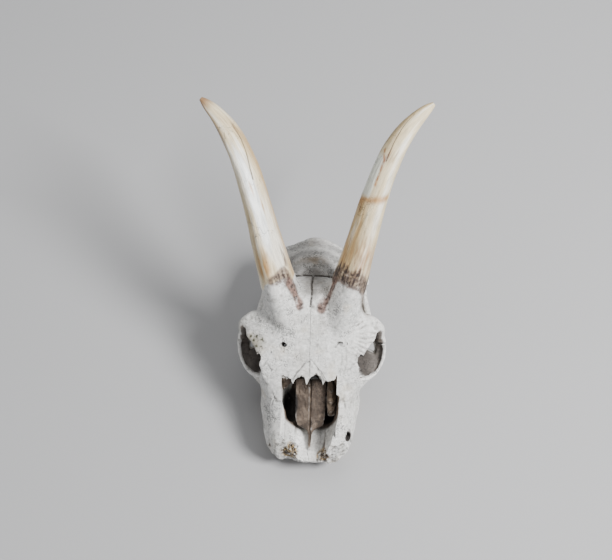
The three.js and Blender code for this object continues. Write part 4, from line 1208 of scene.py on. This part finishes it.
def bone_material(name, streaked):
    """Dry bone: chalky white with fine pores and faint mottling, which runs lengthwise on a horn core"""
    material = bpy.data.materials.new(name)
    material.use_nodes = True
    tree = material.node_tree
    tree.nodes.clear()
    place = add_node(tree, "ShaderNodeTexCoord").outputs["Object"]
    tint = add_node(tree, "ShaderNodeVertexColor", layer_name="Tint").outputs["Color"]
    surface = add_node(tree, "ShaderNodeVertexColor", layer_name="Surface").outputs["Color"]
    surface = add_node(tree, "ShaderNodeSeparateColor", {"Color": surface})
    # mottling about 2 mm across on bone, streaks about 1 mm wide and 8 mm long on a horn core
    lengthwise = add_node(tree, "ShaderNodeAttribute", attribute_name="Along").outputs["Vector"]
    mottle = add_node(tree, "ShaderNodeTexNoise", {"Vector": lengthwise if streaked else place},
                      Scale=0.95 if streaked else 480.0, Detail=5.0, Roughness=0.66)
    shade = add_node(tree, "ShaderNodeMapRange", {"Value": mottle.outputs["Fac"]},
                     From_Min=0.3, From_Max=0.66, To_Min=0.66, To_Max=1.1)
    marks = add_node(tree, "ShaderNodeMath",
                     {0: hairlines(tree, place), 1: pores(tree, place, surface.outputs["Red"])},
                     operation="MULTIPLY")
    shaded = add_node(tree, "ShaderNodeMath", {0: shade.outputs[0], 1: marks.outputs[0]},
                      operation="MULTIPLY")
    coloured = add_node(tree, "ShaderNodeVectorMath", {0: tint, "Scale": shaded.outputs[0]},
                        operation="SCALE")
    grain = add_node(tree, "ShaderNodeTexNoise", {"Vector": place}, Scale=1300.0, Detail=4.0, Roughness=0.6)
    relief = add_node(tree, "ShaderNodeMath", {0: mottle.outputs["Fac"], 1: grain.outputs["Fac"]},
                      operation="ADD")
    height = add_node(tree, "ShaderNodeMath", {0: relief.outputs[0], 1: marks.outputs[0]}, operation="ADD")
    bump = add_node(tree, "ShaderNodeBump", {"Height": height.outputs[0]},
                    Strength=0.35 if streaked else 0.55, Distance=0.0005)
    polish = add_node(tree, "ShaderNodeMapRange", {"Value": surface.outputs["Green"]},
                      To_Min=0.8, To_Max=0.3)
    shader = add_node(tree, "ShaderNodeBsdfPrincipled",
                      {"Base Color": coloured.outputs[0], "Roughness": polish.outputs[0],
                       "Normal": bump.outputs["Normal"]}, IOR=1.55)
    add_node(tree, "ShaderNodeOutputMaterial", {"Surface": shader.outputs[0]})
    return material


def bone_surface():
    """The one dry bone material that all bones share"""
    return bpy.data.materials.get("DryBone") or bone_material("DryBone", False)


def tooth_material():
    """Tooth enamel: glossy cream, darker and browner towards the jaw, with fine upright lines"""
    material = bpy.data.materials.new("ToothEnamel")
    material.use_nodes = True
    tree = material.node_tree
    tree.nodes.clear()
    place = add_node(tree, "ShaderNodeTexCoord").outputs["Object"]
    stretched = add_node(tree, "ShaderNodeMapping", {"Vector": place}, Scale=(1.0, 1.0, 0.12))
    lines = add_node(tree, "ShaderNodeTexNoise", {"Vector": stretched.outputs[0]}, Scale=900.0, Detail=4.0)
    split = add_node(tree, "ShaderNodeSeparateXYZ", {"Vector": place})
    height = add_node(tree, "ShaderNodeMapRange", {"Value": split.outputs["Z"]},
                      From_Min=0.0, From_Max=0.013)
    mixed = add_node(tree, "ShaderNodeMath", {0: height.outputs[0], 1: lines.outputs["Fac"]},
                     operation="ADD")
    scaled = add_node(tree, "ShaderNodeMath", {0: mixed.outputs[0]}, operation="MULTIPLY")
    scaled.inputs[1].default_value = 0.6
    shades = add_node(tree, "ShaderNodeValToRGB", {"Fac": scaled.outputs[0]})
    stops = shades.color_ramp.elements
    stops.new(0.55)
    for stop, (position, tone) in zip(stops, ((0.15, "#e9e2cf"), (0.55, "#cbb995"), (0.95, "#6e563c"))):
        stop.position = position
        stop.color = (*linear(tone), 1)
    bump = add_node(tree, "ShaderNodeBump", {"Height": lines.outputs["Fac"]}, Strength=0.3, Distance=0.0002)
    shader = add_node(tree, "ShaderNodeBsdfPrincipled",
                      {"Base Color": shades.outputs[0], "Normal": bump.outputs["Normal"]},
                      Roughness=0.38, IOR=1.62)
    add_node(tree, "ShaderNodeOutputMaterial", {"Surface": shader.outputs[0]})
    return material


def plain_material(name, colour, roughness):
    """An even finish for what only stands around the skull"""
    material = bpy.data.materials.new(name)
    material.use_nodes = True
    shader = material.node_tree.nodes["Principled BSDF"]
    shader.inputs["Base Color"].default_value = (*colour, 1)
    shader.inputs["Roughness"].default_value = roughness
    return material


def dress(piece, material, slot, *nodes):
    """Paints a finished piece and hands it over in place of its solids."""
    paint(piece)
    piece.data.materials.clear()
    piece.data.materials.append(material)
    bpy.ops.object.select_all(action="DESELECT")
    piece.select_set(True)
    bpy.context.view_layer.objects.active = piece
    bpy.ops.object.shade_smooth_by_angle(angle=math.radians(42))
    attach(piece, "root")
    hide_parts(*nodes)


# Operators


class SKULL_OT_bones(bpy.types.Operator):
    """Fuse the skull's forms, open its hollows, sculpt it and part it at the sutures"""

    bl_idname = "skull.bones"
    bl_label = "Skull Bones"

    def execute(self, context):
        sizes = context.scene.skull_sizes
        skull = whole_skull(sizes)
        sculpt(skull, sizes)
        break_open(skull, sizes)
        for name, bone in part_bones(skull, sizes).items():
            dress(bone, bone_surface(), "bone", name)
        return {"FINISHED"}


class SKULL_OT_horn_cores(bpy.types.Operator):
    """Make both horn cores, with long furrows and a ragged lower edge round the forehead's foot"""

    bl_idname = "skull.horn_cores"
    bl_label = "Horn Cores"

    def execute(self, context):
        sizes = context.scene.skull_sizes
        material = bone_material("HornCoreBone", True)
        for word, side in SIDES.items():
            share = 1 - (1 - np.linspace(0, 1, 380)) ** 1.25
            rings = horn_rings(side, 0.062 + 0.934 * share, sizes, 150)
            horn = mesh_object(f"horn_core_{word}_bone", [rings])
            p = points_of(horn)
            place, turn, _ = horn_measure(p, side, sizes)
            around = np.radians(turn)
            lengthwise = np.column_stack([12 * np.cos(around), 12 * np.sin(around), place * 19])
            furrow = rough(lengthwise, 2.2, 71 + side)
            push = 0.2 * furrow * (1 - ramp(place, 0.8, 1))
            push += 0.3 * rough(p, 18, 74) + 0.08 * rough(p, 2.5, 75)
            push -= 0.7 * ramp(furrow, 0.3, 0.75) * (1 - ramp(place, 0.22, 0.55))
            for crack, depth in CRACKS[side]:
                push -= depth * along(laid_flat(place, turn), crack, 0.6)
            push = push * ramp(place, 0.06, 0.1) - 0.3
            set_points(horn, p + normals_of(horn) * push[:, None])
            layer = horn.data.attributes.new("Along", "FLOAT_VECTOR", "POINT")
            layer.data.foreach_set("vector", lengthwise.astype(np.float32).ravel())
            dress(horn, material, "horn_core", f"horn_core_{word}")
        return {"FINISHED"}


# Cheek teeth: half length, half width, place along the jaw, distance from the middle, and number of lobes
TEETH = [
    (3.2, 3, 20.1, 21, 1), (3.6, 3.5, 27.1, 22.3, 1), (3.7, 4.2, 34.6, 23.4, 1),
    (4.8, 5, 43.3, 24.4, 2), (5.5, 5.4, 53.8, 25.4, 2), (6.6, 5, 66.1, 25.6, 2)]


# Rings of a lobe from the grinding face upwards: height, scale and stretch along the jaw
TOOTH_RINGS = [
    (0.8, 0.35, 1.4), (0.25, 0.62, 1.2), (0.0, 0.78, 1.0), (0.45, 0.86, 1.0), (0.0, 0.97, 1.0),
    (0.5, 1.0, 1.0), (5, 1.0, 1.0), (10, 0.96, 1.0), (13, 0.88, 1.0), (20, 0.8, 1.0)]


def tooth_lobes(long, wide, along_jaw, across, lobes):
    """Each lobe of one cheek tooth as rings, from the grinding face up into the jaw"""
    for lobe in range(lobes):
        half = long / lobes
        middle = along_jaw - long + half * (2 * lobe + 1)
        angle = np.linspace(0, 2 * np.pi, 56, endpoint=False)
        c, s = np.cos(angle), np.sin(angle)
        # cheek side: two ribs at the corners and one in the middle, tongue side: a round crescent
        ribs = 0.75 + 0.25 * np.abs(np.cos(np.pi * s)) ** 3
        xs = np.where(c > 0, wide * signed_power(c, 0.35) * ribs, wide * signed_power(c, 0.8))
        ys = (half + 0.12) * signed_power(s, 0.8)
        yield [np.column_stack([across + xs * scale, middle + ys * scale * stretch, np.full(56, z)])
               for z, scale, stretch in TOOTH_RINGS]


class SKULL_OT_teeth(bpy.types.Operator):
    """Make the cheek teeth of both jaws"""

    bl_idname = "skull.teeth"
    bl_label = "Teeth"

    def execute(self, context):
        material = tooth_material()
        for word, side in SIDES.items():
            shells = [np.array(rings) * (side, 1, 1) for size in TEETH for rings in tooth_lobes(*size)]
            teeth = mesh_object(f"teeth_{word}", shells)
            finish_with(teeth, "SUBSURF", levels=1, render_levels=1)
            p = points_of(teeth)
            p[:, 2] = np.maximum(p[:, 2], 0.0)
            set_points(teeth, p)
            teeth.data.materials.append(material)
            for face in teeth.data.polygons:
                face.use_smooth = True
            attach(teeth, "root")
        return {"FINISHED"}


class SKULL_OT_nose_bones(bpy.types.Operator):
    """Make the grooved bone on the floor of the nose and the rolled bone on its side wall"""

    bl_idname = "skull.nose_bones"
    bl_label = "Nose Bones"

    def execute(self, context):
        wing = track((12, 0.9), (22, 1.3), (25.4, 3), (28, 9.4), (36, 10.9), (58, 11.2))
        top = track((12, 24), (22, 27.4), (28, 31.5), (36, 36.5), (44, 42), (52, 47), (58, 50))
        rings = []
        for y in np.linspace(12, 56.5, 60):
            wide, high = wing(y), top(y)
            stem = min(1.5, wide * 0.6)
            deep = 2.4 + 3.4 * ramp(y, 34, 50)
            half = [
                (stem, 19), (stem, high - deep - 2.2), (0.6 * wide, high - deep - 2), (wide, high - deep),
                (wide, high - 1.2), (0.5 * wide, high - 0.6), (stem * 0.7 + 0.5, high),
                (0.7, high - 0.1), (0.45, high - 2.6)]
            outline = half + [(-a, b) for a, b in reversed(half)]
            rings.append([np.array((a + 0.8, y, b)) for a, b in outline])
        vomer = fused("vomer_bone", [rings], 0.00045)
        finish_with(vomer, "SMOOTH", factor=0.5, iterations=4)
        carve(vomer, mesh_object("space", [list(nose_space(0.3))]), "INTERSECT")
        p = points_of(vomer)
        push = 0.5 * rough(p * (1.6, 0.35, 1), 3, 81) + 0.2 * rough(p, 2, 82)
        push -= 0.8 * ramp(rough(p * (1, 0.2, 0.6), 2, 84), 0.3, 0.7) * ramp(p[:, 1], 28, 34)
        set_points(vomer, p + normals_of(vomer) * push[:, None])
        rolled = rod(
            [(16.4, 33, 37, 2.2, 2.2), (16.2, 40, 40, 3, 6), (16, 48, 42, 3.2, 7.5), (15, 56, 43, 2.6, 6)],
            steps=40, around=40)
        turbinate = fused("turbinate_bone", [rolled], 0.00045)
        carve(turbinate, mesh_object("space", [list(nose_space(0.3))]), "INTERSECT")
        p = points_of(turbinate)
        push = 0.5 * np.sin(p[:, 2] * 1.7 + drift(p, 6, 83)[:, 0] * 3) + 0.3 * rough(p, 3, 84)
        set_points(turbinate, p + normals_of(turbinate) * push[:, None])
        dress(largest_part(vomer), bone_surface(), "stained_bone", "vomer")
        dress(largest_part(turbinate), bone_surface(), "stained_bone", "turbinate")
        return {"FINISHED"}


# Soft lights: name, place in metres, breadth and power in watts
LIGHTS = [
    ("key", (0.9, -0.35, 1.25), 0.45, 52), ("fill", (-1.1, -0.5, 1.0), 1.4, 6),
    ("top", (0.1, 0.6, 1.7), 1.2, 12)]


class SKULL_OT_stage(bpy.types.Operator):
    """Set out the pale floor, the soft lights and the camera"""

    bl_idname = "skull.stage"
    bl_label = "Stage"

    def execute(self, context):
        stage = context.scene.skull_stage
        bpy.ops.object.select_all(action="DESELECT")
        bpy.ops.mesh.primitive_plane_add(size=6, location=(0, 0, 0))
        floor = context.active_object
        floor.name = "floor"
        floor.data.materials.append(plain_material("PalePaper", linear("#a5a5a6"), 0.9))
        for name, place, size, power in LIGHTS:
            bpy.ops.object.light_add(type="AREA", location=place)
            light = context.active_object
            light.name = name
            light.data.size = size
            light.data.energy = power
            light.rotation_euler = (Vector((0, 0, 0.05)) - Vector(place)).to_track_quat("-Z", "Y").to_euler()
        world = bpy.data.worlds.new("soft_room")
        world.use_nodes = True
        world.node_tree.nodes["Background"].inputs["Color"].default_value = (*linear("#e6e9ee"), 1)
        world.node_tree.nodes["Background"].inputs["Strength"].default_value = 0.22
        context.scene.world = world
        bpy.ops.object.camera_add(location=stage.eye)
        camera = context.active_object
        aim = (Vector(stage.target) - Vector(stage.eye)).to_track_quat("-Z", "Y")
        camera.rotation_euler = (aim.to_matrix() @ Matrix.Rotation(stage.roll, 3, "Z")).to_euler()
        camera.data.lens = stage.lens
        camera.data.sensor_width = 36
        context.scene.camera = camera
        return {"FINISHED"}


class SKULL_PT_panel(bpy.types.Panel):
    """Shows the skull's settings and the buttons that make it"""

    bl_idname = "SKULL_PT_panel"
    bl_label = "Goat Skull"
    bl_space_type = "VIEW_3D"
    bl_region_type = "UI"
    bl_category = "Skull"

    def draw(self, context):
        for settings in (context.scene.skull_sizes, context.scene.skull_colours, context.scene.skull_stage):
            for name in settings.__annotations__:
                self.layout.prop(settings, name)
        for operator in OPERATORS:
            self.layout.operator(operator.bl_idname)


OPERATORS = (SKULL_OT_bones, SKULL_OT_horn_cores, SKULL_OT_teeth, SKULL_OT_nose_bones, SKULL_OT_stage)
CLASSES = (SkullSizes, SkullColours, SkullStage, *OPERATORS, SKULL_PT_panel)


def register():
    for cls in CLASSES:
        bpy.utils.register_class(cls)
    bpy.types.Scene.skull_sizes = bpy.props.PointerProperty(type=SkullSizes)
    bpy.types.Scene.skull_colours = bpy.props.PointerProperty(type=SkullColours)
    bpy.types.Scene.skull_stage = bpy.props.PointerProperty(type=SkullStage)


def unregister():
    for name in ("skull_sizes", "skull_colours", "skull_stage"):
        delattr(bpy.types.Scene, name)
    for cls in reversed(CLASSES):
        bpy.utils.unregister_class(cls)


def main():
    register()
    bpy.ops.skull.bones()
    bpy.ops.skull.horn_cores()
    bpy.ops.skull.teeth()
    bpy.ops.skull.nose_bones()
    bpy.ops.skull.stage()


if __name__ == "__main__":
    main()
